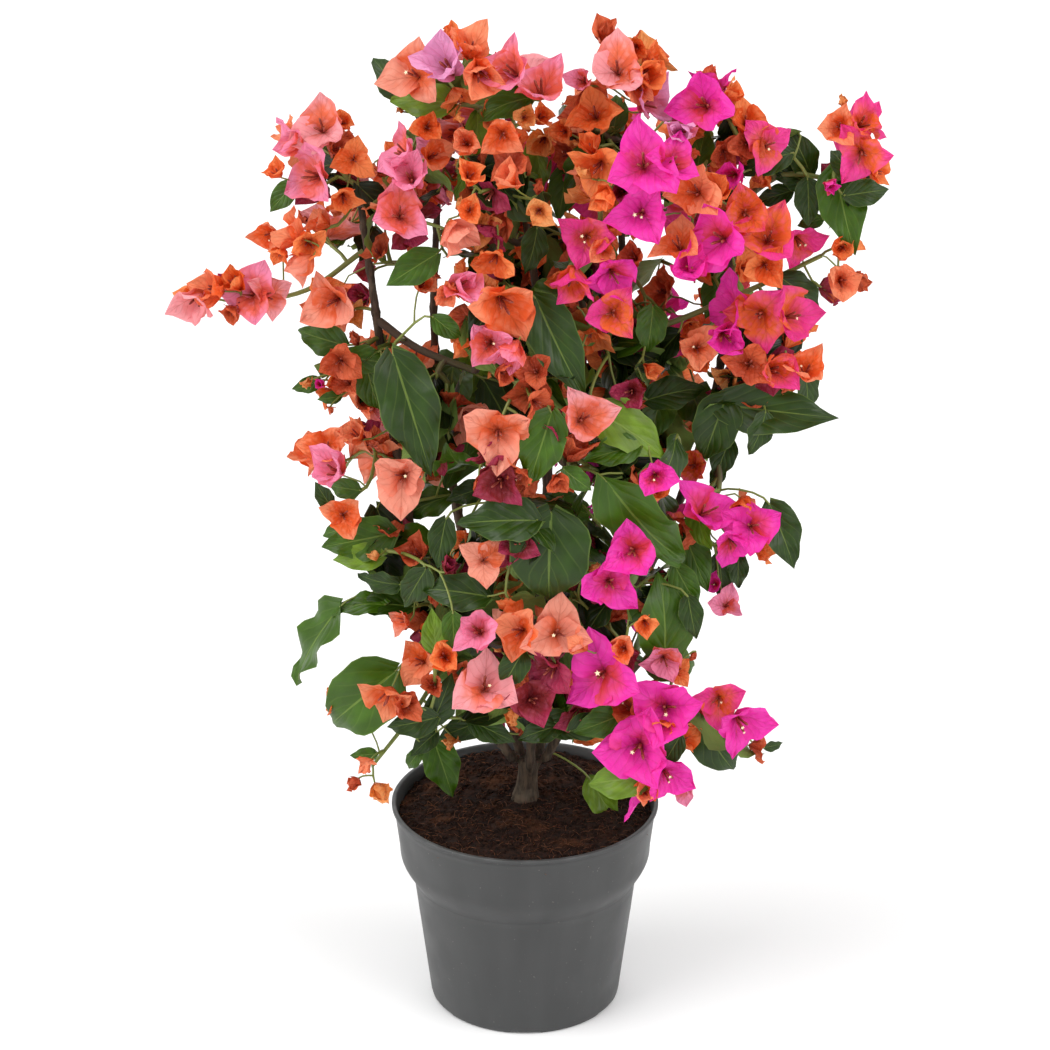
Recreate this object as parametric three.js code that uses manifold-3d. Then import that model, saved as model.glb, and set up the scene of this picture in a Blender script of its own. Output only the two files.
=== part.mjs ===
// A bougainvillea bush in its round nursery pot: five woody stems rise from one short trunk and carry
// a wide, open crown of leaf and blossom masses. Millimetres, +Z up, the origin at the middle of the
// pot's flat underside, the crown's broad face towards -Y.
import * as THREE from "three";
import { mergeVertices } from "three/addons/utils/BufferGeometryUtils.js";
import Module from "manifold-3d";

const wasm = await Module();
wasm.setup();

// ---- driving dimensions -------------------------------------------------------------------------
const POT_HEIGHT = 137;
const RIM_RADIUS = 85;
const COLLAR_FOOT_RADIUS = 79.8; // the stacking collar's lower edge
const COLLAR_HEIGHT = 32.5;
const SHOULDER_HEIGHT = 19; // the slope from the collar down to the body
const BODY_RADIUS = 71.4; // the body where the slope ends
const FOOT_RADIUS = 60.8;
const FOOT_ROUND = 2;
const WALL = 1.7;
const FLOOR = 3;
const LIP = 1.2; // how far the rolled lip stands out from the collar
const LIP_HEIGHT = 3;
const LIP_SLOPE = 0.8; // how high the lip's sloped underside is
const LIP_ROUND = 0.6;
const DRAIN_SLOTS = 6;
const DRAIN_WIDTH = 20;
const DRAIN_HEIGHT = 2;
const DRAIN_LENGTH = 22;
const DRAIN_PAST = 4; // how far each slot's cutter reaches past the foot

const SOIL_TOP = POT_HEIGHT - 9;
const SOIL_FALL = 2; // how much lower the soil lies at the wall than in the middle
const SOIL_FLAT_RADIUS = 46;

const TRUNK_FOOT = 17;
const TRUNK_TOP = 12.5;
const TRUNK_HEIGHT = 26;
const TRUNK_PLACE = [0, 20]; // behind the pot's middle
const TRUNK_LEAN = 3;
const TRUNK_SIDES = 14;
const TRUNK_STEPS = 3;
const ROOT_FLARES = 4; // the low ridges where the trunk spreads into its roots
const ROOT_FLARE = 0.16; // how far they stand out, as a share of the trunk's radius
const ROOT_TURN = 0.6;
const FORK_REACH = 8.2; // from the middle of the trunk's top to the middle of each stem's foot
const STEM_FOOT = 4.1; // every stem's radius where it stands on the trunk
const STEM_SIDES = 7;
const SHOOT_SIDES = 6;

const GAP = 0.35; // the clearance between neighbouring solids
const UNEVEN = 0.19; // how lumpy a mass is, as a share of its radius
const LUMP_WAVES = [3.3, 3.9, 3.6]; // the lumps' waves across, in depth and in height
const LUMP_SHIFTS = [1, 2.1, 0.6]; // how fast each wave shifts from one mass to the next
const LUMP_PHASE = 1.7;
const ROUND_STEPS = 36;
const LIMB_STEP = 60; // the length of a limb's straight facets

// ---- shared helpers -----------------------------------------------------------------------------
const finish = (color, roughness) => new THREE.MeshStandardMaterial({ color, roughness, metalness: 0 });
const plastic = finish(0x5a5b5c, 0.45);
const soilBrown = finish(0x35201a, 0.95);
const bark = finish(0x6e5a48, 0.85);
const greenWood = finish(0x5c7a35, 0.6);
const leafGreen = finish(0x3b6b2c, 0.5);
const magenta = finish(0xe52fa9, 0.6);
const salmon = finish(0xec7f72, 0.6);
const orange = finish(0xe06a33, 0.6);

function solidOf(geometry) {
  const bare = new THREE.BufferGeometry();
  bare.setIndex(geometry.index);
  bare.setAttribute("position", geometry.getAttribute("position"));
  const merged = mergeVertices(bare, 1e-4);
  return new wasm.Manifold(new wasm.Mesh({
    numProp: 3,
    vertProperties: merged.attributes.position.array,
    triVerts: new Uint32Array(merged.index.array),
  }));
}

function geometryOf(solid) {
  const mesh = solid.getMesh();
  const points = new Float32Array(mesh.numVert * 3);
  for (let i = 0; i < mesh.numVert; i++) {
    const start = i * mesh.numProp;
    points.set(mesh.vertProperties.subarray(start, start + 3), i * 3);
  }
  const geometry = new THREE.BufferGeometry();
  geometry.setAttribute("position", new THREE.BufferAttribute(points, 3));
  geometry.setIndex(new THREE.BufferAttribute(mesh.triVerts, 1));
  geometry.computeVertexNormals();
  return geometry;
}

function largestPiece(solid) {
  return solid.decompose().reduce((best, piece) => (piece.volume() > best.volume() ? piece : best));
}

function named(name, geometry, material) {
  const mesh = new THREE.Mesh(geometry, material);
  mesh.name = name;
  return mesh;
}

// A solid of revolution about Z from [radius, height] pairs.
function turned(profile) {
  const points = profile.map(([radius, height]) => new THREE.Vector2(radius, height));
  return new THREE.LatheGeometry(points, ROUND_STEPS).rotateX(Math.PI / 2);
}

// ---- pot and soil -------------------------------------------------------------------------------
const collarFoot = POT_HEIGHT - COLLAR_HEIGHT;
const bodyTop = collarFoot - SHOULDER_HEIGHT;

// The outer wall's radius at a height, by the pot's three cones.
function potRadius(height) {
  if (height >= collarFoot) {
    const share = (height - collarFoot) / COLLAR_HEIGHT;
    return COLLAR_FOOT_RADIUS + share * (RIM_RADIUS - LIP - COLLAR_FOOT_RADIUS);
  }
  if (height >= bodyTop) {
    const share = (height - bodyTop) / SHOULDER_HEIGHT;
    return BODY_RADIUS + share * (COLLAR_FOOT_RADIUS - BODY_RADIUS);
  }
  return FOOT_RADIUS + (height / bodyTop) * (BODY_RADIUS - FOOT_RADIUS);
}

function makePot() {
  const inner = (height) => potRadius(height) - WALL;
  const lipFoot = POT_HEIGHT - LIP_HEIGHT;
  const body = solidOf(turned([
    [0, 0],
    [FOOT_RADIUS - FOOT_ROUND, 0],
    [potRadius(FOOT_ROUND), FOOT_ROUND],
    [potRadius(bodyTop), bodyTop],
    [potRadius(collarFoot), collarFoot],
    [potRadius(lipFoot), lipFoot],
    [RIM_RADIUS, lipFoot + LIP_SLOPE],
    [RIM_RADIUS, POT_HEIGHT - LIP_ROUND],
    [RIM_RADIUS - LIP_ROUND, POT_HEIGHT],
    [inner(POT_HEIGHT), POT_HEIGHT],
    [inner(collarFoot), collarFoot],
    [inner(bodyTop), bodyTop],
    [inner(FLOOR), FLOOR],
    [0, FLOOR],
  ]));
  let pot = body;
  for (let i = 0; i < DRAIN_SLOTS; i++) {
    const slot = new THREE.BoxGeometry(DRAIN_LENGTH, DRAIN_WIDTH, 2 * DRAIN_HEIGHT);
    slot.translate(FOOT_RADIUS - DRAIN_LENGTH / 2 + DRAIN_PAST, 0, 0);
    slot.rotateZ((i / DRAIN_SLOTS) * 2 * Math.PI + Math.PI / 2);
    pot = pot.subtract(solidOf(slot));
  }
  return named("pot", geometryOf(pot), plastic);
}

function makeSoil() {
  const inside = (height) => potRadius(height) - WALL - GAP;
  const edge = SOIL_TOP - SOIL_FALL;
  const floor = FLOOR + GAP;
  return named("soil", geometryOf(solidOf(turned([
    [0, floor],
    [inside(floor), floor],
    [inside(bodyTop), bodyTop],
    [inside(collarFoot), collarFoot],
    [inside(edge), edge],
    [SOIL_FLAT_RADIUS, SOIL_TOP],
    [0, SOIL_TOP],
  ]))), soilBrown);
}

// ---- limbs --------------------------------------------------------------------------------------
const smoothPath = (points) => new THREE.CatmullRomCurve3(points.map((p) => new THREE.Vector3(...p)));

// A round bar bent along a curve and tapered from one radius to the other. Spare makes it that much
// fatter and longer, for cutting its way through a mass.
function bentBar(points, from, to, sides, spare = 0) {
  const path = smoothPath(points);
  const steps = Math.max(2, Math.round(path.getLength() / LIMB_STEP));
  const frames = path.computeFrenetFrames(steps);
  const bar = new THREE.CylinderGeometry(to + spare, from + spare, 1, sides, steps);
  const place = bar.getAttribute("position");
  const at = new THREE.Vector3();
  for (let i = 0; i < place.count; i++) {
    const share = place.getY(i) + 0.5;
    const ring = Math.round(share * steps);
    path.getPointAt(ring / steps, at);
    at.addScaledVector(frames.normals[ring], place.getZ(i));
    at.addScaledVector(frames.binormals[ring], place.getX(i));
    if (ring === 0) at.addScaledVector(frames.tangents[ring], -spare);
    if (ring === steps) at.addScaledVector(frames.tangents[ring], spare);
    place.setXYZ(i, at.x, at.y, at.z);
  }
  return solidOf(bar);
}

const [trunkX, trunkY] = TRUNK_PLACE;
const trunkBase = SOIL_TOP + GAP;
const forkHeight = trunkBase + TRUNK_HEIGHT;

function makeTrunk() {
  const trunk = new THREE.CylinderGeometry(TRUNK_TOP, TRUNK_FOOT, TRUNK_HEIGHT, TRUNK_SIDES, TRUNK_STEPS);
  trunk.rotateX(Math.PI / 2);
  const place = trunk.getAttribute("position");
  for (let i = 0; i < place.count; i++) {
    const rise = place.getZ(i) / TRUNK_HEIGHT + 0.5;
    const turn = Math.atan2(place.getY(i), place.getX(i));
    const flare = 1 + ROOT_FLARE * Math.cos(ROOT_FLARES * turn + ROOT_TURN) * (1 - rise) ** 2;
    const x = trunkX + place.getX(i) * flare + TRUNK_LEAN * rise;
    place.setXYZ(i, x, trunkY + place.getY(i) * flare, trunkBase + rise * TRUNK_HEIGHT);
  }
  return solidOf(trunk);
}

// The five stems fan out from the trunk's top: name, angle round it in degrees, radius at the tip, and
// the points each passes through.
const STEMS = [
  ["stem_left", 198, 2.2, [-52, 6, 236], [-76, -4, 362], [-98, -4, 540]],
  ["stem_centre", 270, 2, [8, 6, 250], [14, 0, 400], [-8, -6, 584]],
  ["stem_right", 342, 2, [62, 4, 262], [112, 0, 396], [126, -4, 540]],
  ["stem_back_left", 126, 1.8, [-38, 48, 290], [-56, 52, 430], [-50, 40, 556]],
  ["stem_back_right", 54, 1.8, [42, 50, 290], [60, 56, 420], [56, 42, 556]],
];

// Side shoots: name, material, the stem each leaves and how far up it, radius at the foot and at the
// tip, and the points it passes through.
const SHOOTS = [
  ["arch_left", greenWood, "stem_left", 0.8, 2.6, 2, [-66, -26, 450], [-30, -30, 436]],
  ["shoot_left_tip", greenWood, "stem_left", 0.91, 1.7, 1.2, [-132, -14, 480], [-172, -14, 472]],
  ["shoot_right_tip", greenWood, "stem_right", 0.98, 2.2, 1.4, [154, -6, 550], [184, -6, 546]],
  ["shoot_right_young", greenWood, "stem_centre", 0.7, 2.2, 1.4, [70, -14, 456], [176, -6, 500]],
  ["shoot_low_left", greenWood, "stem_left", 0.22, 1.8, 1.2, [-76, -28, 200], [-95, -36, 178]],
  ["shoot_low_right", bark, "stem_right", 0.24, 2.4, 1.6, [74, -58, 232], [112, -48, 218]],
];

function makeLimbs() {
  const foot = new THREE.Vector2(trunkX + TRUNK_LEAN, trunkY);
  const limb = (name, material, sides, from, to, points) => ({
    name,
    material,
    path: smoothPath(points),
    solid: bentBar(points, from, to, sides),
    clearance: bentBar(points, from, to, sides, GAP),
  });
  const stems = STEMS.map(([name, angle, tip, ...points]) => {
    const turn = THREE.MathUtils.degToRad(angle);
    const start = new THREE.Vector2(FORK_REACH, 0).rotateAround(new THREE.Vector2(), turn).add(foot);
    return limb(name, bark, STEM_SIDES, STEM_FOOT, tip, [[start.x, start.y, forkHeight], ...points]);
  });
  const shoots = SHOOTS.map(([name, material, stem, share, from, to, ...points]) => {
    const start = stems.find((s) => s.name === stem).path.getPointAt(share).toArray();
    return limb(name, material, SHOOT_SIDES, from, to, [start, ...points]);
  });
  const limbs = [...stems, ...shoots];
  // Stems stand flat on the trunk's top, and a side shoot stops short of the stem that it leaves.
  limbs.forEach((next, i) => {
    const above = next.solid.trimByPlane([0, 0, 1], forkHeight + GAP);
    const cut = (left, { clearance }) => largestPiece(left.subtract(clearance));
    next.solid = limbs.slice(0, i).reduce(cut, above);
  });
  return limbs;
}

// ---- masses of leaf and blossom -----------------------------------------------------------------
// name, material, middle x y z, half width, half depth, half height
const MASSES = [
  ["blooms_top_left", salmon, -30, -6, 602, 54, 34, 33],
  ["blooms_top_right", orange, 54, 4, 608, 31, 32, 30],
  ["blooms_top_far_right", magenta, 101, -8, 594, 25, 28, 29],
  ["blooms_left_shoulder", salmon, -121, 0, 558, 28, 32, 39],
  ["blooms_upper_left", salmon, -69, -24, 528, 27, 34, 46],
  ["leaves_upper_middle", leafGreen, -14, -34, 544, 34, 36, 34],
  ["blooms_upper_middle", magenta, 62, -48, 558, 34, 33, 32],
  ["leaves_right_shoulder", leafGreen, 135, 0, 566, 28, 32, 30],
  ["blooms_right_tip", magenta, 186, -4, 549, 32, 26, 44],
  ["blooms_right_upper", magenta, 113, -36, 522, 40, 38, 33],
  ["blooms_centre_upper", orange, 42, -28, 494, 33, 38, 40],
  ["blooms_left_front", orange, -20, -44, 482, 35, 34, 40],
  ["blooms_left_edge", orange, -126, -10, 496, 34, 24, 28],
  ["blooms_left_tip", salmon, -178, -14, 479, 31, 20, 20],
  ["blooms_right_edge", orange, 177, -4, 488, 25, 24, 22],
  ["blooms_right_middle", magenta, 134, -18, 450, 38, 36, 32],
  ["leaves_centre_right", leafGreen, 68, -15, 438, 34, 38, 32],
  ["leaves_centre", leafGreen, 15, -60, 440, 27, 26, 34],
  ["leaves_left_middle", leafGreen, -101, -8, 424, 30, 32, 29],
  ["leaves_left_front", leafGreen, -55, -44, 404, 32, 32, 42],
  ["blooms_front_middle", salmon, 4, -82, 400, 42, 24, 27],
  ["blooms_left_lower", salmon, -103, -18, 370, 32, 32, 32],
  ["leaves_right_middle", leafGreen, 128, -22, 407, 42, 30, 23],
  ["leaves_front_right", leafGreen, 60, -58, 373, 38, 34, 40],
  ["leaves_front_centre", leafGreen, 2, -76, 342, 34, 28, 36],
  ["blooms_right_lower", magenta, 122, -34, 338, 37, 30, 30],
  ["leaves_left_lower", leafGreen, -90, -22, 318, 32, 28, 29],
  ["leaves_front_left", leafGreen, -48, -50, 326, 28, 32, 36],
  ["blooms_front_right", magenta, 48, -78, 298, 31, 28, 38],
  ["blooms_front_low", salmon, -16, -78, 278, 40, 28, 34],
  ["leaves_inner_left", leafGreen, -62, -12, 268, 24, 30, 34],
  ["leaves_right_low", leafGreen, 92, -46, 284, 29, 30, 32],
  ["leaves_drooping_left", leafGreen, -105, -30, 272, 33, 16, 26],
  ["leaves_low_left", leafGreen, -80, -36, 224, 41, 20, 26],
  ["sprig_low_left", orange, -95, -36, 172, 19, 16, 22],
  ["blooms_low_right", magenta, 70, -69, 209, 34, 28, 43],
  ["leaves_low_centre", leafGreen, -2, -34, 226, 42, 30, 24],
  ["blooms_low_far_right", magenta, 131, -46, 213, 31, 22, 26],
  ["back_top_left", salmon, -58, 42, 556, 50, 36, 42],
  ["back_top_right", orange, 62, 44, 550, 54, 36, 44],
  ["back_left", leafGreen, -101, 44, 482, 42, 36, 44],
  ["back_centre", leafGreen, 2, 58, 472, 46, 38, 44],
  ["back_right", magenta, 99, 48, 470, 48, 38, 44],
  ["back_low_left", leafGreen, -62, 50, 378, 48, 38, 48],
  ["back_low_right", magenta, 60, 52, 374, 50, 38, 48],
  ["back_foot", leafGreen, 2, 44, 284, 66, 36, 40],
];
const LARGE = 45; // a mass at least this wide, deep or high gets the finer mesh

function makeLump(index, [x, y, z], [width, depth, height]) {
  const lump = new THREE.IcosahedronGeometry(1, Math.max(width, depth, height) >= LARGE ? 2 : 1);
  const place = lump.getAttribute("position");
  const phase = LUMP_PHASE * index;
  for (let i = 0; i < place.count; i++) {
    const along = [place.getX(i), place.getY(i), place.getZ(i)];
    const [a, b, c] = along.map((v, axis) => Math.sin(LUMP_WAVES[axis] * v + LUMP_SHIFTS[axis] * phase));
    const swell = 1 + (UNEVEN * (a + b + c)) / 2;
    place.setXYZ(i, x + place.getX(i) * width * swell, y + place.getY(i) * depth * swell,
      z + place.getZ(i) * height * swell);
  }
  return solidOf(lump);
}

// The plane on which two neighbouring masses meet: its normal points from the first to the second.
function meetingPlane(first, second) {
  const step = new THREE.Vector3().subVectors(second.middle, first.middle);
  const along = (mass) => 1 / Math.hypot(...step.toArray().map((s, k) => s / mass.half[k]));
  const share = along(first) / (along(first) + along(second));
  const point = new THREE.Vector3().copy(first.middle).addScaledVector(step, share);
  const tilt = step.toArray().map((s, k) => s * (first.half[k] ** -2 + second.half[k] ** -2));
  const normal = new THREE.Vector3(...tilt).normalize();
  return { normal, offset: normal.dot(point) };
}

function makeMasses(limbs) {
  const masses = MASSES.map(([name, material, x, y, z, ...half], index) => ({
    name, material, half, middle: new THREE.Vector3(x, y, z), lump: makeLump(index, [x, y, z], half),
  }));
  for (const mass of masses) mass.solid = mass.lump;
  masses.forEach((first, i) => masses.slice(i + 1).forEach((second) => {
    if (first.lump.intersect(second.lump).volume() <= 0) return;
    const { normal, offset } = meetingPlane(first, second);
    const facing = normal.toArray();
    const back = normal.clone().negate().toArray();
    first.solid = first.solid.trimByPlane(back, GAP / 2 - offset);
    second.solid = second.solid.trimByPlane(facing, GAP / 2 + offset);
  }));
  return masses.map(({ name, material, middle, solid }) => {
    let open = solid;
    for (const limb of limbs) open = open.subtract(limb.clearance);
    const place = middle.toArray();
    const mesh = named(name, geometryOf(largestPiece(open).translate(place.map((p) => -p))), material);
    mesh.position.set(...place);
    return mesh;
  });
}

// ---- the whole plant ----------------------------------------------------------------------------
const limbs = makeLimbs();

const container = new THREE.Group();
container.name = "container";
container.add(makePot(), makeSoil());

const wood = new THREE.Group();
wood.name = "wood";
wood.add(named("trunk", geometryOf(makeTrunk()), bark));
for (const { name, solid, material } of limbs) wood.add(named(name, geometryOf(solid), material));

const crown = new THREE.Group();
crown.name = "crown";
crown.add(...makeMasses(limbs));

const plant = new THREE.Group();
plant.add(container, wood, crown);
export default plant;
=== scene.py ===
"""The looks of a potted bougainvillea bush, as a Blender add-on that is run as a script.

The crown is grown: what shows in front is placed bloom by bloom and leaf by leaf, each mass of leaf
and blossom in the frame is dealt more of them over its open surface, and a branching rule carries a
stalk to every one from the nearest limb or twig.
"""

import functools
import math
from types import SimpleNamespace

import bmesh
import bpy
import numpy as np
from bpy.props import FloatProperty, FloatVectorProperty, IntProperty, PointerProperty
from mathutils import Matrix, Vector, noise
from mathutils.bvhtree import BVHTree
from mathutils.kdtree import KDTree


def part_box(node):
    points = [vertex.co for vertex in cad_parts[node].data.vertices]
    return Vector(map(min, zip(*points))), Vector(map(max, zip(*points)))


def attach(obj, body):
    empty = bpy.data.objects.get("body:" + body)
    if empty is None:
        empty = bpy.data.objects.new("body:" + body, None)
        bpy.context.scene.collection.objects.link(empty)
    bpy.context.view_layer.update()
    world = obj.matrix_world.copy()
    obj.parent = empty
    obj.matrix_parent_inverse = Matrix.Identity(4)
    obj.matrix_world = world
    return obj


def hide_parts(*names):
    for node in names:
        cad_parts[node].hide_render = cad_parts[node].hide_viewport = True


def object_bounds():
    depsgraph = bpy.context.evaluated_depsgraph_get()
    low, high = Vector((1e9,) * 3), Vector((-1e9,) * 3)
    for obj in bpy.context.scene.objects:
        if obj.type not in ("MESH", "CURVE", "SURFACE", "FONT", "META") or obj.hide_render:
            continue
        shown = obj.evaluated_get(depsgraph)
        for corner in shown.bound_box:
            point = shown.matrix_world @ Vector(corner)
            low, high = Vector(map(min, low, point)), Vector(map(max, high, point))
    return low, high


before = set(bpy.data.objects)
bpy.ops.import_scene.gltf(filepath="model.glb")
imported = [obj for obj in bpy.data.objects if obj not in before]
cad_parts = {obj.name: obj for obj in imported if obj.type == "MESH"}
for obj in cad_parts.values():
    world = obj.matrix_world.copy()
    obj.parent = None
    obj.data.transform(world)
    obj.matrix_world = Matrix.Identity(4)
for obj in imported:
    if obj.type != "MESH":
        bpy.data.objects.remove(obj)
CAD_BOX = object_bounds()

bl_info = {
    "name": "Potted Bougainvillea",
    "version": (1, 0, 0),
    "blender": (4, 5, 0),
    "location": "View3D > Sidebar > Bougainvillea",
    "description": "Grows the leaves, blossom and twigs of a potted bougainvillea and dresses its pot",
    "category": "Object",
}

MM = 0.001
UV_NAME = "OFBake"
UP = np.array([0.0, 0.0, 1.0])
FRONT = np.array([0.0, -1.0, 0.0])
FULL_TURN = (0, math.tau)
MASSES = sorted(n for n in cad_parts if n.startswith(("blooms_", "leaves_", "back_", "sprig_")))
STEMS = sorted(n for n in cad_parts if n.startswith("stem_"))
SHOOTS = sorted(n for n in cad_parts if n.startswith(("shoot_", "arch_")))


def colour(red, green, blue):
    """A linear colour from its 0 to 255 screen values."""
    return tuple(((c / 255 + 0.055) / 1.055) ** 2.4 for c in (red, green, blue))


# ---- settings -----------------------------------------------------------------------------------
def tint(name, base, description):
    return FloatVectorProperty(
        name=name, description=description, subtype="COLOR", size=3, min=0, max=1, default=base)


def tints(base, tip, name):
    """Two colours in one setting: a bract's at its base, then at its tip."""
    return FloatVectorProperty(
        name=name, description=name + " bracts: the colour at the base, then at the tip",
        size=6, min=0, max=1, default=(*colour(*base), *colour(*tip)))


def length(name, millimetres, description):
    return FloatProperty(
        name=name, description=description, default=millimetres * MM, unit="LENGTH", subtype="DISTANCE")


class CrownSettings(bpy.types.PropertyGroup):
    """Sizes of what the crown is made of."""

    seed: IntProperty(name="Seed", description="Chooses another plant of the same kind", default=7)
    leaf: length("Leaf", 62, "Length of a full-grown leaf's blade")
    bract: length("Bract", 25, "Length of each of the three bracts of a full bloom")
    tube: length("Tube", 14, "Length of the small true flowers inside a bloom")
    twig: length("Twig", 0.55, "Radius of the thinnest stalk")


class BlossomSettings(bpy.types.PropertyGroup):
    """Colours of each kind of bract."""

    magenta: tints((228, 66, 66), (241, 52, 176), "Magenta")
    sunset: tints((236, 104, 44), (240, 60, 150), "Orange with a magenta tip")
    lilac: tints((226, 104, 124), (232, 156, 200), "Pale lilac")
    rose: tints((238, 104, 80), (244, 140, 176), "Pink")
    blush: tints((238, 114, 76), (246, 162, 168), "Pale pink")
    salmon: tints((236, 106, 58), (244, 154, 130), "Salmon")
    coral: tints((238, 100, 40), (248, 146, 104), "Coral")
    orange: tints((234, 97, 34), (248, 138, 76), "Orange")
    apricot: tints((226, 124, 54), (245, 166, 98), "Pale orange")
    ember: tints((184, 68, 34), (220, 102, 60), "Deep orange")
    # The wine red tint is painted shade: a dark red for bracts that lie in shade, low in the middle and
    # inside the crown.
    wine: tints((136, 34, 38), (168, 42, 80), "Wine red")


class LeafSettings(bpy.types.PropertyGroup):
    """Colours of leaves and stalks."""

    # The deep leaf green is painted shade: a darker green for leaves set deep in the crown, where shade
    # falls.
    deep: tint("Deep leaf", colour(24, 40, 8), "Upper side of a leaf deep in the crown")
    dark: tint("Dark leaf", colour(36, 60, 2), "Upper side of an old leaf")
    mid: tint("Leaf", colour(56, 89, 3), "Upper side of a full-grown leaf")
    young: tint("Young leaf", colour(98, 128, 26), "Upper side of a young leaf")
    under: tint("Underside", colour(112, 138, 66), "Underside of every leaf")
    vein: tint("Vein", colour(146, 170, 76), "Midrib and side veins")
    stalk: tint("Stalk", colour(132, 144, 66), "Green stalks and young shoots")
    wood: tint("Wood", colour(90, 74, 58), "Bark of the stems and the trunk")


class PotSettings(bpy.types.PropertyGroup):
    """The pot and the soil in it."""

    plastic: tint("Plastic", colour(54, 55, 55), "The pot's plastic")
    soil: tint("Soil", colour(52, 30, 20), "Moist peat")
    fibre: tint("Fibre", colour(128, 78, 46), "Loose fibres in the peat")
    wall: length("Wall", 1.7, "Thickness of the pot's wall")
    crumb: length("Crumb", 1.3, "Radius of a crumb of soil")


class StageSettings(bpy.types.PropertyGroup):
    """The camera and the room."""

    distance: length("Distance", 1800, "How far the camera stands in front of the plant")
    height: length("Height", 1051, "How high the camera stands")
    pitch: FloatProperty(
        name="Pitch", description="How far the camera looks down", default=math.radians(21.96),
        subtype="ANGLE", unit="ROTATION")
    lens: FloatProperty(name="Lens", description="Focal length in millimetres", default=108.07)
    floor: tint("Floor", (0.94, 0.94, 0.94), "The pale floor")


def settings(name):
    return getattr(bpy.context.scene, "bougainvillea_" + name)


# ---- node graphs --------------------------------------------------------------------------------
class Graph:
    """Adds nodes to a tree and joins them, so that a formula reads as one."""

    def __init__(self, tree):
        self.tree = tree

    def node(self, kind, inputs=None, **values):
        node = self.tree.nodes.new(kind)
        for key, value in values.items():
            setattr(node, key, value)
        for key, value in (inputs or {}).items():
            self.feed(node.inputs[key], value)
        return node

    def feed(self, socket, value):
        if isinstance(value, bpy.types.NodeSocket):
            self.tree.links.new(value, socket)
        elif socket.type == "RGBA" and len(value) == 3:
            socket.default_value = (*value, 1)
        else:
            socket.default_value = value

    def math(self, operation, *values):
        return self.node("ShaderNodeMath", dict(enumerate(values)), operation=operation).outputs[0]

    def times(self, first, second):
        return self.math("MULTIPLY", first, second)

    def minus(self, first, second):
        return self.math("SUBTRACT", first, second)

    def scaled(self, value, factor, start):
        """Value times factor, counted from start."""
        return self.math("MULTIPLY_ADD", value, factor, start)

    def fade(self, value, start, end, low=0.0, high=1.0):
        """Goes smoothly from low to high as value goes from start to end."""
        inputs = {"Value": value, "From Min": start, "From Max": end, "To Min": low, "To Max": high}
        return self.node("ShaderNodeMapRange", inputs, interpolation_type="SMOOTHSTEP").outputs[0]

    def mix(self, factor, first, second):
        return self.node("ShaderNodeMix", {0: factor, 6: first, 7: second}, data_type="RGBA").outputs[2]

    def noise(self, scale, place, detail=2.0, roughness=0.5):
        inputs = {"Scale": scale, "Vector": place, "Detail": detail, "Roughness": roughness}
        return self.node("ShaderNodeTexNoise", inputs).outputs["Fac"]

    def bump(self, height, strength, distance):
        inputs = {"Height": height, "Strength": strength, "Distance": distance}
        return self.node("ShaderNodeBump", inputs).outputs[0]

    def mapped_place(self):
        """A place on the UV map, and how far it is across and along."""
        place = self.node("ShaderNodeUVMap", uv_map=UV_NAME).outputs[0]
        split = self.node("ShaderNodeSeparateXYZ", {0: place})
        return place, split.outputs[0], split.outputs[1]

    def place(self, scale=None):
        """A place on the object, with its axes scaled one by one if scale is given."""
        place = self.node("ShaderNodeTexCoord").outputs["Object"]
        if scale is None:
            return place
        return self.node("ShaderNodeMapping", {"Vector": place, "Scale": scale}).outputs[0]

    def principled(self, base, roughness, normal=None, specular=0.5):
        inputs = {"Base Color": base, "Roughness": roughness, "Specular IOR Level": specular}
        if normal is not None:
            inputs["Normal"] = normal
        return self.node("ShaderNodeBsdfPrincipled", inputs).outputs[0]

    def surface(self, shader):
        self.node("ShaderNodeOutputMaterial", {"Surface": shader})


def new_material(name):
    material = bpy.data.materials.new(name)
    material.use_nodes = True
    material.node_tree.nodes.clear()
    return material, Graph(material.node_tree)


# ---- materials ----------------------------------------------------------------------------------
# How many pairs of side veins a blade has, how steeply they rise, and how deep its relief is.
VEIN_PAIRS = 5.2
VEIN_SLOPE = 2.6
RELIEF = 0.6 * MM

# The columns of a bract's map, and how much later in each the tip's tint sets in.
MAP_COLUMNS = 4
COLUMN_STEP = 0.2


def shade(base, factor, lift=0.0):
    """A tint made darker or lighter."""
    return [min(1, c * factor + lift) for c in base]


def vein_lines(g, across, along):
    """How much of a midrib and of a side vein lies at a place on a blade, and how far off both are."""
    off = g.math("ABSOLUTE", g.scaled(across, 2.0, -1.0))
    midrib = g.fade(g.math("DIVIDE", off, g.scaled(along, -0.035, 0.06)), 0.5, 1.0, 1.0, 0.0)
    bowed = g.math("POWER", off, 0.8)
    rank = g.minus(g.times(along, VEIN_PAIRS), g.times(bowed, VEIN_SLOPE))
    ridge = g.math("ABSOLUTE", g.minus(g.math("FRACT", rank), 0.5))
    side = g.times(g.fade(ridge, 0.03, 0.09, 1.0, 0.0), g.fade(off, 0.55, 1.0, 1.0, 0.15))
    return midrib, side, off, ridge


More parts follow.
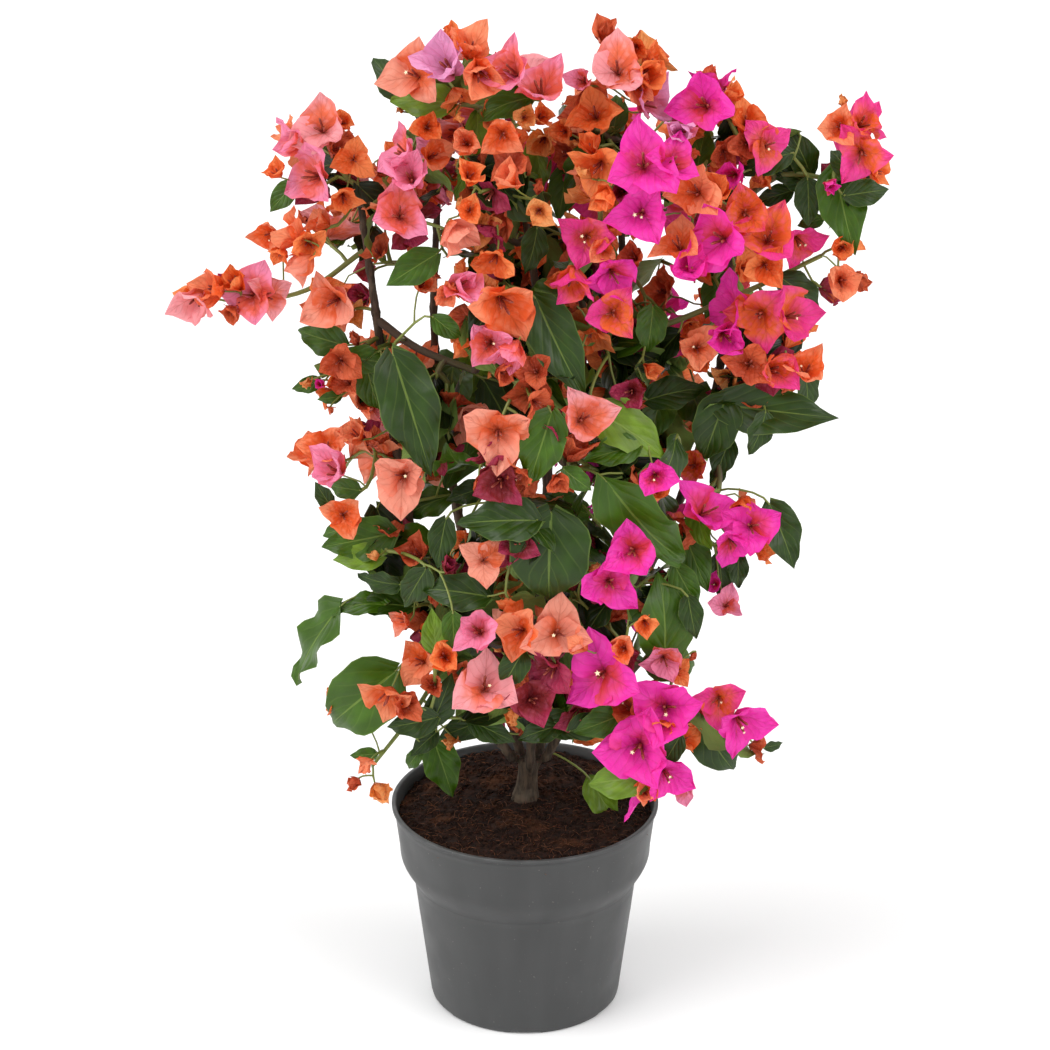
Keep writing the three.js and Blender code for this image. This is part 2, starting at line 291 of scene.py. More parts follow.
def leaf_material(name, upper):
    """Leathery, with pale veins. The left half of the map is the upper side, the right the lower."""
    leaf = settings("leaf")
    material, g = new_material(name)
    _, across, along = g.mapped_place()
    is_under = g.math("GREATER_THAN", across, 0.5)
    across = g.math("FRACT", g.times(across, 2.0))
    midrib, side, off, ridge = vein_lines(g, across, along)
    place = g.node("ShaderNodeCombineXYZ", {0: across, 1: along}).outputs[0]
    blotch = g.noise(3.2, place, detail=3.0)
    blotched = g.mix(g.fade(blotch, 0.35, 0.7), shade(upper, 0.8), shade(upper, 1.2))
    edged = g.mix(g.fade(off, 0.95, 0.99, 0.0, 0.22), blotched, leaf.vein)
    face = g.mix(is_under, edged, leaf.under)
    veined = g.mix(g.times(side, 0.06), face, leaf.vein)
    base = g.mix(g.times(midrib, 0.3), veined, leaf.vein)
    height = g.minus(g.fade(ridge, 0.0, 0.35), g.times(midrib, 0.8))
    normal = g.bump(g.scaled(g.noise(13.0, place), 0.7, height), 0.3, RELIEF)
    rough = g.scaled(is_under, 0.26, g.fade(blotch, 0.3, 0.7, 0.34, 0.46))
    g.surface(g.principled(base, rough, normal, 0.32))
    return material


def bract_material(name, base, tip, share):
    """Papery: a base tint that goes over to the tip's, fine raised veins, painted shade at the foot and
    light let through.

    The tints meet at the share of the bract's length, and earlier or later in each column of its map.
    """
    material, g = new_material(name)
    _, across, along = g.mapped_place()
    column = g.math("FLOOR", g.times(across, float(MAP_COLUMNS)))
    across = g.math("FRACT", g.times(across, float(MAP_COLUMNS)))
    place = g.node("ShaderNodeCombineXYZ", {0: across, 1: along, 2: column}).outputs[0]
    midrib, side, _, ridge = vein_lines(g, across, along)
    wander = g.minus(g.noise(2.6, place, detail=3.0), 0.5)
    later = g.scaled(column, COLUMN_STEP, -0.5 * COLUMN_STEP * (MAP_COLUMNS - 1))
    reach = g.math("ADD", g.scaled(wander, 0.6, along), later)
    tinted = g.mix(g.fade(reach, share - 0.3, share + 0.3), base, tip)
    cloud = g.fade(g.noise(5.0, place, detail=4.0), 0.42, 0.78, 0.0, 0.4)
    pale = g.mix(cloud, tinted, shade(tip, 1.12, 0.08))
    # deep is the base tint darkened: painted shade at the bract's foot, where it meets the others in the
    # bloom's centre, and also the darker tone of its veins.
    deep = shade(base, 0.6)
    lines = g.math("MAXIMUM", g.times(midrib, 0.3), g.times(side, 0.22))
    throat_shaded = g.mix(g.fade(along, 0.0, 0.22, 0.6, 0.0), g.mix(lines, pale, deep), deep)
    height = g.scaled(g.noise(9.0, place, detail=3.0), 1.6, g.fade(ridge, 0.0, 0.3))
    normal = g.bump(height, 0.5, RELIEF)
    paper = g.principled(throat_shaded, 0.58, normal, 0.35)
    through = g.node("ShaderNodeBsdfTranslucent", {"Color": throat_shaded, "Normal": normal}).outputs[0]
    g.surface(g.node("ShaderNodeMixShader", {0: 0.28, 1: paper, 2: through}).outputs[0])
    return material


def twig_material(name):
    """Green where a stalk is thin, and brown where it has thickened, as its map's height tells."""
    leaf = settings("leaf")
    material, g = new_material(name)
    place, _, along = g.mapped_place()
    streak = g.noise(9.0, place, detail=3.0)
    age = g.scaled(g.minus(streak, 0.5), 0.25, along)
    green = g.mix(streak, shade(leaf.stalk, 0.7), leaf.stalk)
    brown = g.mix(streak, shade(leaf.wood, 0.6), leaf.wood)
    base = g.mix(g.fade(age, 0.42, 0.7), green, brown)
    g.surface(g.principled(base, g.fade(age, 0.3, 0.8, 0.45, 0.8), g.bump(streak, 0.3, 0.5 * RELIEF)))
    return material


def bark_material(name):
    """Long dark fissures, with a little pale lichen."""
    leaf = settings("leaf")
    material, g = new_material(name)
    fissure = g.noise(1.0, g.place((420, 420, 60)), detail=5.0, roughness=0.65)
    lichen = g.noise(70.0, g.place(), detail=3.0)
    base = g.mix(g.fade(fissure, 0.35, 0.62), shade(leaf.wood, 0.35), leaf.wood)
    base = g.mix(g.fade(lichen, 0.55, 0.72, 0.0, 0.2), base, colour(150, 138, 120))
    g.surface(g.principled(base, 0.86, g.bump(fissure, 0.6, RELIEF)))
    return material


def plastic_material(name):
    """Moulded satin plastic with soft streaks of painted sheen, painted a little paler at the lip as a
    highlight, and dusted with fine scuffs.
    """
    pot = settings("pot")
    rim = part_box("pot")[1].z
    material, g = new_material(name)
    place = g.place()
    height = g.node("ShaderNodeSeparateXYZ", {0: place}).outputs[2]
    # Painted sheen: the colour goes lighter and darker in soft streaks that run up the pot; the same
    # streaks also ripple its surface through the bump.
    cloud = g.noise(1.0, g.place((60, 60, 12)), detail=4.0)
    base = g.mix(g.fade(cloud, 0.3, 0.7), shade(pot.plastic, 0.9), shade(pot.plastic, 1.08))
    # Painted highlight: the top of the lip is painted paler in patches, as if light fell on it.
    lip_highlight = g.fade(g.noise(90.0, place, detail=3.0), 0.4, 0.6, 0.15, 0.6)
    base = g.mix(g.times(g.fade(height, rim - 2.2 * MM, rim), lip_highlight), base, shade(pot.plastic, 2.4))
    speck = g.fade(g.noise(520.0, place, detail=1.0), 0.74, 0.8, 0.0, 0.22)
    base = g.mix(speck, base, colour(170, 165, 155))
    rough = g.fade(g.noise(38.0, place, detail=5.0), 0.3, 0.7, 0.4, 0.52)
    grain = g.math("ADD", g.noise(900.0, place), g.times(cloud, 2.0))
    g.surface(g.principled(base, rough, g.bump(grain, 0.12, 0.25 * RELIEF)))
    return material


def soil_material(name):
    """Moist peat in dark crumbs, with paler fibrous patches."""
    pot = settings("pot")
    material, g = new_material(name)
    place = g.place()
    crumb = g.noise(260.0, place, detail=6.0, roughness=0.7)
    patch = g.noise(38.0, place, detail=3.0)
    base = g.mix(g.fade(crumb, 0.38, 0.62), shade(pot.soil, 0.3), pot.soil)
    base = g.mix(g.fade(patch, 0.5, 0.72, 0.0, 0.45), base, shade(pot.fibre, 0.6))
    g.surface(g.principled(base, 0.95, g.bump(crumb, 1.0, 1.6 * MM), 0.25))
    return material


def plain_material(name, first, second, scale, roughness):
    """Two near tints in small patches, for pieces too small to show more."""
    material, g = new_material(name)
    base = g.mix(g.fade(g.noise(scale, g.mapped_place()[0]), 0.4, 0.6), first, second)
    g.surface(g.principled(base, roughness))
    return material


# ---- small shapes -------------------------------------------------------------------------------
# Rows along and columns across a bract's and a leaf's blade, and the sides of a flower's tube.
BRACT_GRID = (10, 8)
LEAF_GRID = (12, 6)
TUBE_SIDES = 5
LEAF_THICKNESS = 0.006
KINDS = 14

# The ranges that each bract's and each leaf's own measures are drawn from. The waves, creases and
# widths are shares of the blade's length, and the angles are in radians.
BRACT_RANGES = {
    "wave": (0.05, 0.14), "phase": FULL_TURN, "twist": (-0.6, 0.6), "sway": (-0.18, 0.18),
    "fold": (0.1, 0.6), "reflex": (-0.6, 1.0), "crease": (0.04, 0.09), "first": FULL_TURN,
    "second": FULL_TURN,
}
LEAF_RANGES = {
    "width": (0.56, 0.68), "fold": (0.15, 0.6), "arch": (0.2, 1.2), "wave": (0.025, 0.07),
    "phase": FULL_TURN, "twist": (-0.5, 0.5), "sway": (-0.16, 0.16), "belly": (0.66, 0.8),
}

# How each kind of bloom is held: the bracts' angle at the foot and at the tip, how much the tips
# differ, how deep they are cupped, how far the cup opens, how wide they are, and how often an open
# flower shows.
HOLD = {
    "wide": (48, 74, 18, 0.2, 1.2, 0.94, 0.2),
    "open": (42, 54, 26, 0.34, 1.2, 0.96, 0.15),
    "cup": (36, 32, 26, 0.55, 1.0, 0.94, 0.08),
    "tulip": (34, 6, 16, 0.75, 0.7, 0.88, 0.0),
    "lantern": (58, -48, 3, 0.62, 0.0, 0.66, 0.0),
}


class Shape:
    """Vertices, the sizes of the faces, and each corner's vertex and place on the UV square."""

    def __init__(self, points, sizes, corners, uv):
        self.points, self.sizes, self.corners, self.uv = map(np.asarray, (points, sizes, corners, uv))

    @classmethod
    def of(cls, points, faces, uv):
        """A shape of faces that are given as lists of corners."""
        return cls(points, [len(f) for f in faces], np.concatenate(faces), np.concatenate(uv))

    @classmethod
    def joined(cls, shapes):
        starts = np.cumsum([0] + [len(s.points) for s in shapes[:-1]])
        corners = [s.corners + start for s, start in zip(shapes, starts)]
        points, sizes, uv = ([getattr(s, key) for s in shapes] for key in ("points", "sizes", "uv"))
        return cls(*map(np.concatenate, (points, sizes, corners, uv)))

    def moved(self, turn, place=(0, 0, 0)):
        """A copy whose own axes lie along the columns of turn, at place."""
        return Shape(self.points @ np.asarray(turn).T + place, self.sizes, self.corners, self.uv)

    def faces(self):
        return [face.tolist() for face in np.split(self.corners, np.cumsum(self.sizes)[:-1])]


def drawn(rng, ranges):
    """A value from each range, under the range's own name."""
    return SimpleNamespace(**{name: rng.uniform(*ends) for name, ends in ranges.items()})


def turned_over(corners):
    """A face's corners the other way round, from the same first corner."""
    return corners[:1] + corners[:0:-1]


def turned_z(angle):
    c, s = math.cos(angle), math.sin(angle)
    return np.array([[c, -s, 0], [s, c, 0], [0, 0, 1.0]])


def blade_faces(rows, columns):
    """The faces of a blade of rows of points with one more at its tip, and their UV corners."""
    faces, uv = [], []
    width = columns + 1
    for i in range(rows):
        for j in range(columns):
            corner = [(i, j), (i, j + 1), (i + 1, j + 1), (i + 1, j)]
            if i == rows - 1:
                corner = [(i, j), (i, j + 1), (rows, (j + 0.5))]
            faces.append([rows * width if r == rows else r * width + int(c) for r, c in corner])
            uv.append([(c / columns, r / rows) for r, c in corner])
    return faces, uv


def bract_shape(rng, size, width, lift, spread, cup, flare):
    """One papery bract: it stands at lift from the bloom's axis and bends out to spread at its tip.

    It is cupped at its foot, and its cup opens by the share flare on the way to the tip.
    """
    rows, columns = BRACT_GRID
    own = drawn(rng, BRACT_RANGES)
    reflex = own.reflex * min(1.0, flare)
    points = []
    place = np.zeros(3)
    for i in range(rows + 1):
        v = i / rows
        angle = lift + (spread - lift) * v ** 0.8 + reflex * max(0.0, v - 0.6)
        along = np.array([math.sin(angle), own.sway * (1 - 2 * v), math.cos(angle)])
        inward = np.array([-math.cos(angle), 0, math.sin(angle)])
        if i:
            place = place + along * size / rows
        if i == rows:
            points.append(place + along * size * 0.05)
            break
        half = width * size / 2 * (math.sin(math.pi * v ** 0.8) ** 0.86 + 0.11 * (1 - v) ** 3)
        side = np.array([0, math.cos(own.twist * v), math.sin(own.twist * v)])
        bend = cup * (1 - v * flare)
        for j in range(columns + 1):
            u = j / columns * 2 - 1
            # The edge waves most between the foot and the tip, and two sets of creases cross the blade.
            swing = math.sin(11 * v + own.phase + 1.7 * u)
            ripple = size * own.wave * u * u * swing * min(1, 2 * v, 3.6 * (1 - v))
            crease = math.sin(4.6 * u + 3 * v + own.first) * math.sin(6.5 * v - 2 * u + own.second)
            crease += 0.4 * math.sin(9 * u - 6 * v + own.second) * math.sin(13 * v + 3 * u + own.first)
            ripple += size * own.crease * crease * v ** 0.5
            rise = half * (bend * abs(u) ** 1.6 + own.fold * abs(u) * (1 - 0.6 * v)) + ripple
            ragged = 1 + 0.12 * abs(u) * math.sin(15 * v + own.first + 2.4 * u) * (1 - v)
            reach = u * half * ragged * (1 - 0.2 * abs(bend * u))
            points.append(place + side * reach + inward * rise)
    shape = Shape.of(points, *blade_faces(rows, columns))
    shape.uv = (shape.uv + (rng.integers(MAP_COLUMNS), 0)) / (MAP_COLUMNS, 1)
    return shape


def tube_faces(count, sides):
    """The faces of a closed tube of count rings, and their UV corners."""
    faces, uv = [], []
    last = count - 1
    for i in range(last):
        for k in range(sides):
            n = (k + 1) % sides
            faces.append([i * sides + k, i * sides + n, (i + 1) * sides + n, (i + 1) * sides + k])
            corner = [(k, i), (k + 1, i), (k + 1, i + 1), (k, i + 1)]
            uv.append([(turn / sides, ring / last) for turn, ring in corner])
    faces += [[last * sides + k for k in range(sides)], list(reversed(range(sides)))]
    uv += [[(0.5, 1.0)] * sides, [(0.5, 0.0)] * sides]
    return faces, uv


def tube_shape(points, radii, sides):
    """A closed tube of level rings about points."""
    rings = []
    for point, radius in zip(points, radii):
        for k in range(sides):
            turn = math.tau * k / sides
            rings.append(np.asarray(point) + radius * np.array([math.cos(turn), math.sin(turn), 0]))
    return Shape.of(rings, *tube_faces(len(points), sides))


def star_shape(radius):
    """The pale five-pointed mouth of an open flower."""
    points, faces = [(0, 0, 0)], []
    for k in range(10):
        is_tip = k % 2 == 0
        reach = radius if is_tip else radius * 0.42
        turn = math.tau * k / 10
        points.append((reach * math.cos(turn), reach * math.sin(turn), radius * (0.25 if is_tip else 0.1)))
    for k in range(5):
        faces.append([0, (2 * k - 1) % 10 + 1, 2 * k + 1, 2 * k + 2])
    return Shape.of(points, faces, [[(0.5, 0), (0, 0.6), (0.5, 1), (1, 0.6)]] * 5)


def bloom_shapes(rng, hold, tube):
    """The bracts, tubes and stars of one bloom, whose bracts are one long, that opens along +Z.

    The first bract leans towards +X.
    """
    foot, tip, differ, cup, flare, width, flowering = HOLD[hold]
    bracts, tubes, stars = [], [], []
    for k in range(3):
        own = drawn(rng, {"foot": (-6, 6), "tip": (-differ, differ), "size": (0.9, 1.08),
                          "width": (0.88, 1.1), "cup": (0.7, 1.2)})
        one = bract_shape(rng, own.size, width * own.width, math.radians(foot + own.foot),
                          math.radians(tip + own.tip), cup * own.cup, flare)
        turn = turned_z(math.tau * k / 3 + rng.uniform(-0.28, 0.28))
        bracts.append(one.moved(turn))
        if hold == "lantern":
            continue
        lean = rng.uniform(0.12, 0.36)
        tall = tube * rng.uniform(0.75, 1.05)
        path = [(tall * t * lean, 0, tall * t) for t in (0.05, 0.3, 0.62, 0.88, 1.0)]
        girths = [tube * 0.058 * f for f in (0.6, 1.1, 0.85, 1.05, 0.6)]
        tubes.append(tube_shape(path, girths, TUBE_SIDES).moved(turn))
        if rng.random() < flowering:
            top = turn @ np.array([tall * lean, 0, tall + 0.01])
            stars.append(star_shape(tube * rng.uniform(0.07, 0.12)).moved(turned_z(k), top))
    return [Shape.joined(found) if found else None for found in (bracts, tubes, stars)]


def leaf_shape(rng):
    """A leaf one long, along +X with its upper side to +Z: heart-based, long-tipped, folded and wavy."""
    rows, columns = LEAF_GRID
    own = drawn(rng, LEAF_RANGES)
    top = []
    place, heading = np.zeros(3), 0.22
    for i in range(rows + 1):
        v = i / rows
        if i:
            heading -= own.arch * (0.5 + v) / rows
            place = place + 1 / rows * np.array([math.cos(heading), own.sway * v, math.sin(heading)])
        if i == rows:
            top.append(place)
            break
        swell = math.sin(math.pi * v ** own.belly) ** 0.8 * (1 - 0.1 * v - 0.45 * v ** 5)
        swell = swell * (1 + 0.05 * math.sin(17 * v + 2 * own.phase)) + 0.1 * (1 - v) ** 6
        half = own.width / 2 * swell
        lift = np.array([-math.sin(heading), 0, math.cos(heading)])
        tilt = own.twist * (v - 0.4)
        across = np.array([0, math.cos(tilt), 0]) + lift * math.sin(tilt)
        for j in range(columns + 1):
            u = j / columns * 2 - 1
            rise = abs(u) * own.fold - 0.55 * own.fold * u * u
            ripple = own.wave * u * u * math.sin(16 * v + own.phase + (2 if u > 0 else 0))
            # The two lobes of the base reach back past the stalk.
            back = -0.09 * abs(u) * (1 - v) ** 8
            top.append(place + np.array([back, 0, 0]) + across * u * half + lift * (half * rise + ripple))
    faces, uv = blade_faces(rows, columns)
    top = np.array(top)
    under = top - LEAF_THICKNESS * UP
    width = columns + 1
    rim = [i * width + j for i in range(rows) for j in range(width) if i == 0 or j in (0, columns)]
    rim.append(rows * width)
    under[rim] = top[rim]
    # Both sides' faces start at the same corner, so that they are split along the same diagonal.
    upper = Shape.of(top, [turned_over(f) for f in faces], [turned_over(corners) for corners in uv])
    upper.uv = upper.uv * (0.5, 1)
    lower = Shape.of(under, faces, uv)
    lower.uv = lower.uv * (0.5, 1) + (0.5, 0)
    return welded(Shape.joined([upper, lower]), len(top), rim)


def welded(shape, count, rim):
    """Joins the second half's rim points to those of the first half."""
    target = np.arange(len(shape.points))
    for k in rim:
        target[count + k] = k
    used, inverse = np.unique(target, return_inverse=True)
    shape.points = shape.points[used]
    shape.corners = inverse[shape.corners]
    return shape


# ---- pieces -------------------------------------------------------------------------------------
def finish_piece(piece, material, nodes=()):
    """Gives a finished mesh its material, its body and the nodes it stands for."""
    piece.data.materials.clear()
    piece.data.materials.append(material)
    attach(piece, "root")
    if nodes:
        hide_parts(*nodes)


def linked(name, mesh):
    piece = bpy.data.objects.new(name, mesh)
    bpy.context.scene.collection.objects.link(piece)
    return piece


def smooth_piece(name, mesh):
    """An object with smooth faces from a bmesh, which is freed."""
    data = bpy.data.meshes.new(name)
    mesh.to_mesh(data)
    mesh.free()
    data.polygons.foreach_set("use_smooth", [True] * len(data.polygons))
    return linked(name, data)


def joined_piece(name, shapes, material, nodes=(), smooth=True):
    """One mesh of many small shapes, whose UV maps all lie on the same square."""
    whole = Shape.joined(shapes)
    mesh = bpy.data.meshes.new(name)
    mesh.vertices.add(len(whole.points))
    mesh.vertices.foreach_set("co", whole.points.ravel())
    mesh.loops.add(len(whole.corners))
    mesh.loops.foreach_set("vertex_index", whole.corners.astype(np.int32))
    mesh.polygons.add(len(whole.sizes))
    starts = np.concatenate([[0], np.cumsum(whole.sizes)[:-1]])
    mesh.polygons.foreach_set("loop_start", starts.astype(np.int32))
    layer = mesh.uv_layers.new(name=UV_NAME)
    mesh.update(calc_edges=True)
    layer.uv.foreach_set("vector", whole.uv.ravel())
    mesh.validate()
    mesh.polygons.foreach_set("use_smooth", [smooth] * len(mesh.polygons))
    mesh.set_sharp_from_angle(angle=math.radians(80))
    finish_piece(linked(name, mesh), material, nodes)


def bake_modifiers(piece):
    """Turns a piece and its modifiers into a plain mesh."""
    depsgraph = bpy.context.evaluated_depsgraph_get()
    mesh = bpy.data.meshes.new_from_object(piece.evaluated_get(depsgraph))
    mesh.name = piece.name
    piece.modifiers.clear()
    piece.data = mesh


def turned_mesh(profile, sides, lift, first=0.0, flipped=False):
    """A bmesh turned about +Z from a profile of radii and heights.

    Its rings start first steps round, lift gives the height of each point, and flipped turns the
    faces over.
    """
    mesh = bmesh.new()
    rings = []
    for radius, z in profile:
        turns = [math.tau * (k + first) / sides for k in range(sides if radius else 1)]
        spots = [(radius * math.cos(turn), radius * math.sin(turn)) for turn in turns]
        rings.append([mesh.verts.new((x, y, lift(x, y, z))) for x, y in spots])
    for a, b in zip(rings, rings[1:]):
        for k in range(sides):
            ends = [a[k % len(a)], a[(k + 1) % len(a)], b[(k + 1) % len(b)], b[k % len(b)]]
            ends = list(dict.fromkeys(ends))
            mesh.faces.new(turned_over(ends) if flipped else ends)
    return mesh


# ---- geometry trees -----------------------------------------------------------------------------
def geometry_tree(name, **numbers):
    """Starts a tree with a geometry, a material and number inputs, and returns it and its inputs."""
    tree = bpy.data.node_groups.new(name, "GeometryNodeTree")
    face = tree.interface
    face.new_socket("Geometry", in_out="INPUT", socket_type="NodeSocketGeometry")
    face.new_socket("Material", in_out="INPUT", socket_type="NodeSocketMaterial")
    for label, value in numbers.items():
        kind = "NodeSocketInt" if isinstance(value, int) else "NodeSocketFloat"
        face.new_socket(label, in_out="INPUT", socket_type=kind).default_value = value
    face.new_socket("Geometry", in_out="OUTPUT", socket_type="NodeSocketGeometry")
    g = Graph(tree)
    return g, g.node("NodeGroupInput").outputs


def close_tree(g, geometry, material):
    """Ends a tree with real geometry in the given material."""
    real = g.node("GeometryNodeRealizeInstances", {0: geometry})
    dressed = g.node("GeometryNodeSetMaterial", {"Geometry": real.outputs[0], "Material": material})
    g.node("NodeGroupOutput", {0: dressed.outputs[0]})
    return g.tree


def run_tree(piece, tree, wanted):
    """Runs a tree on a piece with the wanted inputs and applies it."""
    modifier = piece.modifiers.new(tree.name, "NODES")
    modifier.node_group = tree
    for item in tree.interface.items_tree:
        if item.in_out == "INPUT" and item.name in wanted:
            modifier[item.identifier] = wanted[item.name]
    bake_modifiers(piece)


# ---- the frame's limbs and masses ---------------------------------------------------------------
LINE_STEP = 6 * MM


def merged_copy(node):
    """A CAD node's mesh as a bmesh whose doubles are merged and whose vertices are numbered."""
    mesh = bmesh.new()
    mesh.from_mesh(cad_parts[node].data)
    bmesh.ops.remove_doubles(mesh, verts=mesh.verts, dist=0.01 * MM)
    mesh.verts.index_update()
    return mesh


def centre_line(node):
    """The middle and radius of a limb at each of its rings, from its foot to its tip.

    The rings are found by counting edges from the middle of the cap at the limb's tip, which is the
    one point whose neighbours all lie evenly round it. Each is added up in the order of its numbers,
    so that the sums come out the same in each run.
    """
    mesh = merged_copy(node)

    def unevenness(vert):
        around = [e.other_vert(vert).co for e in vert.link_edges]
        return (sum(around, Vector()) / len(around) - vert.co).length

    tip = min(mesh.verts, key=unevenness)
    level, seen, rings = {tip}, {tip}, []
    while level:
        rings.append([v.co.copy() for v in sorted(level, key=lambda v: v.index)])
        level = {e.other_vert(v) for v in level for e in v.link_edges} - seen
        seen |= level
    mesh.free()
    line = []
    for ring in rings[1:]:
        middle = sum(ring, Vector()) / len(ring)
        line.append([*middle, sum((p - middle).length for p in ring) / len(ring)])
    return line[::-1]


def smooth_line(points, step):
    """A Catmull-Rom curve through points with values, sampled about every step."""
    points = np.asarray(points, float)
    padded = np.vstack([2 * points[0] - points[1], points, 2 * points[-1] - points[-2]])
    out = []
    for a, b, c, d in zip(padded, padded[1:], padded[2:], padded[3:]):
        count = max(1, round(np.linalg.norm((c - b)[:3]) / step))
        for t in np.arange(count) / count:
            out.append(0.5 * (2 * b + (c - a) * t + (2 * a - 5 * b + 4 * c - d) * t * t
                              + (3 * b - a - 3 * c + d) * t ** 3))
    return np.array(out + [points[-1]])


@functools.cache
def limb_lines():
    """Each limb's smooth centre line as rows of x, y, z and radius."""
    return {name: smooth_line(centre_line(name), LINE_STEP) for name in STEMS + SHOOTS}


def unit(vector):
    vector = np.asarray(vector, float)
    return vector / max(1e-9, np.linalg.norm(vector))


@functools.cache
def solid_masses():
    """A tree of all the masses' and the pot's faces, for telling what is open."""
    points, faces = [], []
    for name in MASSES + ["pot", "soil"]:
        mesh = merged_copy(name)
        start = len(points)
        points += [v.co.copy() for v in mesh.verts]
        faces += [[start + v.index for v in f.verts] for f in mesh.faces]
        mesh.free()
    return BVHTree.FromPolygons(points, faces)


def open_places(node, rng, count, clear):
    """Random places on a mass's surface and their outward directions, where nothing is in front."""
    mesh = merged_copy(node)
    corners = np.array([[v.co[:] for v in f.verts] for f in mesh.faces])
    normals = np.array([f.normal[:] for f in mesh.faces])
    areas = np.array([f.calc_area() for f in mesh.faces])
    mesh.free()
    middle = corners.reshape(-1, 3).mean(0)
    picks = rng.choice(len(areas), count, p=areas / areas.sum())
    a, b = rng.random((2, count, 1))
    a, b = np.where(a + b > 1, 1 - a, a), np.where(a + b > 1, 1 - b, b)
    first, second, third = (corners[picks, k] for k in range(3))
    points = first + a * (second - first) + b * (third - first)
    tree = solid_masses()
    kept = []
    for point, normal in zip(points, normals[picks]):
        out = unit(normal + unit(point - middle))
        if tree.ray_cast(Vector(point + out * MM), Vector(out), clear)[0] is None:
            kept.append((point, out))
    return kept


def spread_out(places, taken, count):
    """Count of the places, each as far as it can be from those taken."""
    points = np.array([p for p, _ in places])
    gap = np.full(len(points), np.inf)
    for other in taken:
        gap = np.minimum(gap, np.linalg.norm(points - other, axis=1))
    dealt = []
    for _ in range(min(count, len(places))):
        pick = int(np.argmax(gap))
        dealt.append(places[pick])
        gap = np.minimum(gap, np.linalg.norm(points - points[pick], axis=1))
    return dealt


# ---- what grows where ---------------------------------------------------------------------------
# Tints of full and of young blooms, each with its share.
PINK_BUDS = {"orange": 5, "ember": 2, "coral": 3}
TINTS = {
    "pink": ({"rose": 5, "blush": 2, "salmon": 2, "coral": 3}, PINK_BUDS),
    "salmon": ({"salmon": 4, "rose": 1, "coral": 4, "blush": 1}, PINK_BUDS),
    "orange": ({"orange": 4, "coral": 4, "apricot": 2}, {"orange": 5, "ember": 3, "apricot": 3}),
    "sunset": ({"sunset": 4, "magenta": 1, "coral": 3, "orange": 2},
               {"orange": 6, "sunset": 2, "ember": 2, "apricot": 1}),
    "magenta": ({"magenta": 4, "sunset": 3, "coral": 2, "wine": 1},
                {"sunset": 2, "orange": 4, "ember": 2, "apricot": 1}),
    # The last group, for masses in the crown's shaded lower middle, deals mostly dark red bracts as painted
    # shade.
    "wine": ({"wine": 3, "salmon": 1, "ember": 1}, {"ember": 3, "wine": 2, "coral": 2}),
}
# Blooms set inside the crown take these dark tints as painted shade.
SHADED_INNER_TINTS = {"wine": 3, "ember": 2}
BUD_TINTS = {"apricot": 2, "ember": 3}
LOW_TINTS = {"coral": 2, "orange": 3, "sunset": 2}

# How each growth is held, each hold with its share, and its smallest and largest size as shares of a
# full bract's length.
YOUNG_HOLDS = {"cup": 3, "open": 3, "tulip": 2, "wide": 1}
GROWTH = {
    "full": ({"open": 5, "wide": 2, "cup": 4}, (0.8, 1.12)),
    "inner": (YOUNG_HOLDS, (0.6, 0.9)),
    "young": (YOUNG_HOLDS, (0.5, 0.8)),
    "bud": ({"lantern": 1}, (0.3, 0.52)),
    "low": ({"open": 2, "cup": 3}, (0.55, 0.9)),
}

# Each mass: its tints, and how many full blooms, young blooms, leaves and buds it carries besides the
# ones that are placed one by one.
CHARACTER = """
blooms_top_left pink 7 12 3 5; blooms_top_right orange 4 9 2 3; blooms_top_far_right magenta 3 6 2 3
blooms_left_shoulder pink 4 7 2 3; blooms_upper_left pink 4 10 3 3
leaves_upper_middle orange 0 6 10 4; blooms_upper_middle orange 3 8 3 1
leaves_right_shoulder orange 1 10 5 4; blooms_right_tip sunset 2 7 2 3
blooms_right_upper sunset 5 9 2 2; blooms_centre_upper orange 4 8 3 1
blooms_left_front orange 1 6 6 3; blooms_left_edge salmon 2 7 2 3; blooms_left_tip salmon 1 4 1 2
blooms_right_edge orange 0 5 2 2; blooms_right_middle orange 3 9 2 1
leaves_centre_right sunset 1 5 5 1; leaves_centre wine 1 3 5 0; leaves_left_middle orange 1 5 5 3
leaves_left_front wine 1 2 5 1; blooms_front_middle wine 1 4 2 1; blooms_left_lower salmon 3 5 2 2
leaves_right_middle wine 2 3 5 1; leaves_front_right magenta 1 2 5 0
leaves_front_centre wine 1 2 5 0; blooms_right_lower magenta 3 5 3 1
leaves_left_lower salmon 0 2 5 1; leaves_front_left wine 1 3 5 1; blooms_front_right wine 2 4 2 1
blooms_front_low salmon 1 5 2 1; leaves_inner_left orange 1 3 5 1; leaves_right_low magenta 1 2 5 1
leaves_drooping_left orange 0 0 1 0; leaves_low_left orange 0 2 2 1; sprig_low_left orange 0 0 1 1
blooms_low_right magenta 2 4 2 1; leaves_low_centre wine 2 4 4 1
blooms_low_far_right magenta 1 3 2 1; back_top_left pink 14 17 12 5
back_top_right sunset 14 17 12 5; back_left salmon 10 11 14 4; back_centre orange 9 14 17 4
back_right magenta 11 11 14 4; back_low_left salmon 8 10 17 4; back_low_right magenta 11 10 15 4
back_foot orange 6 9 22 3
"""
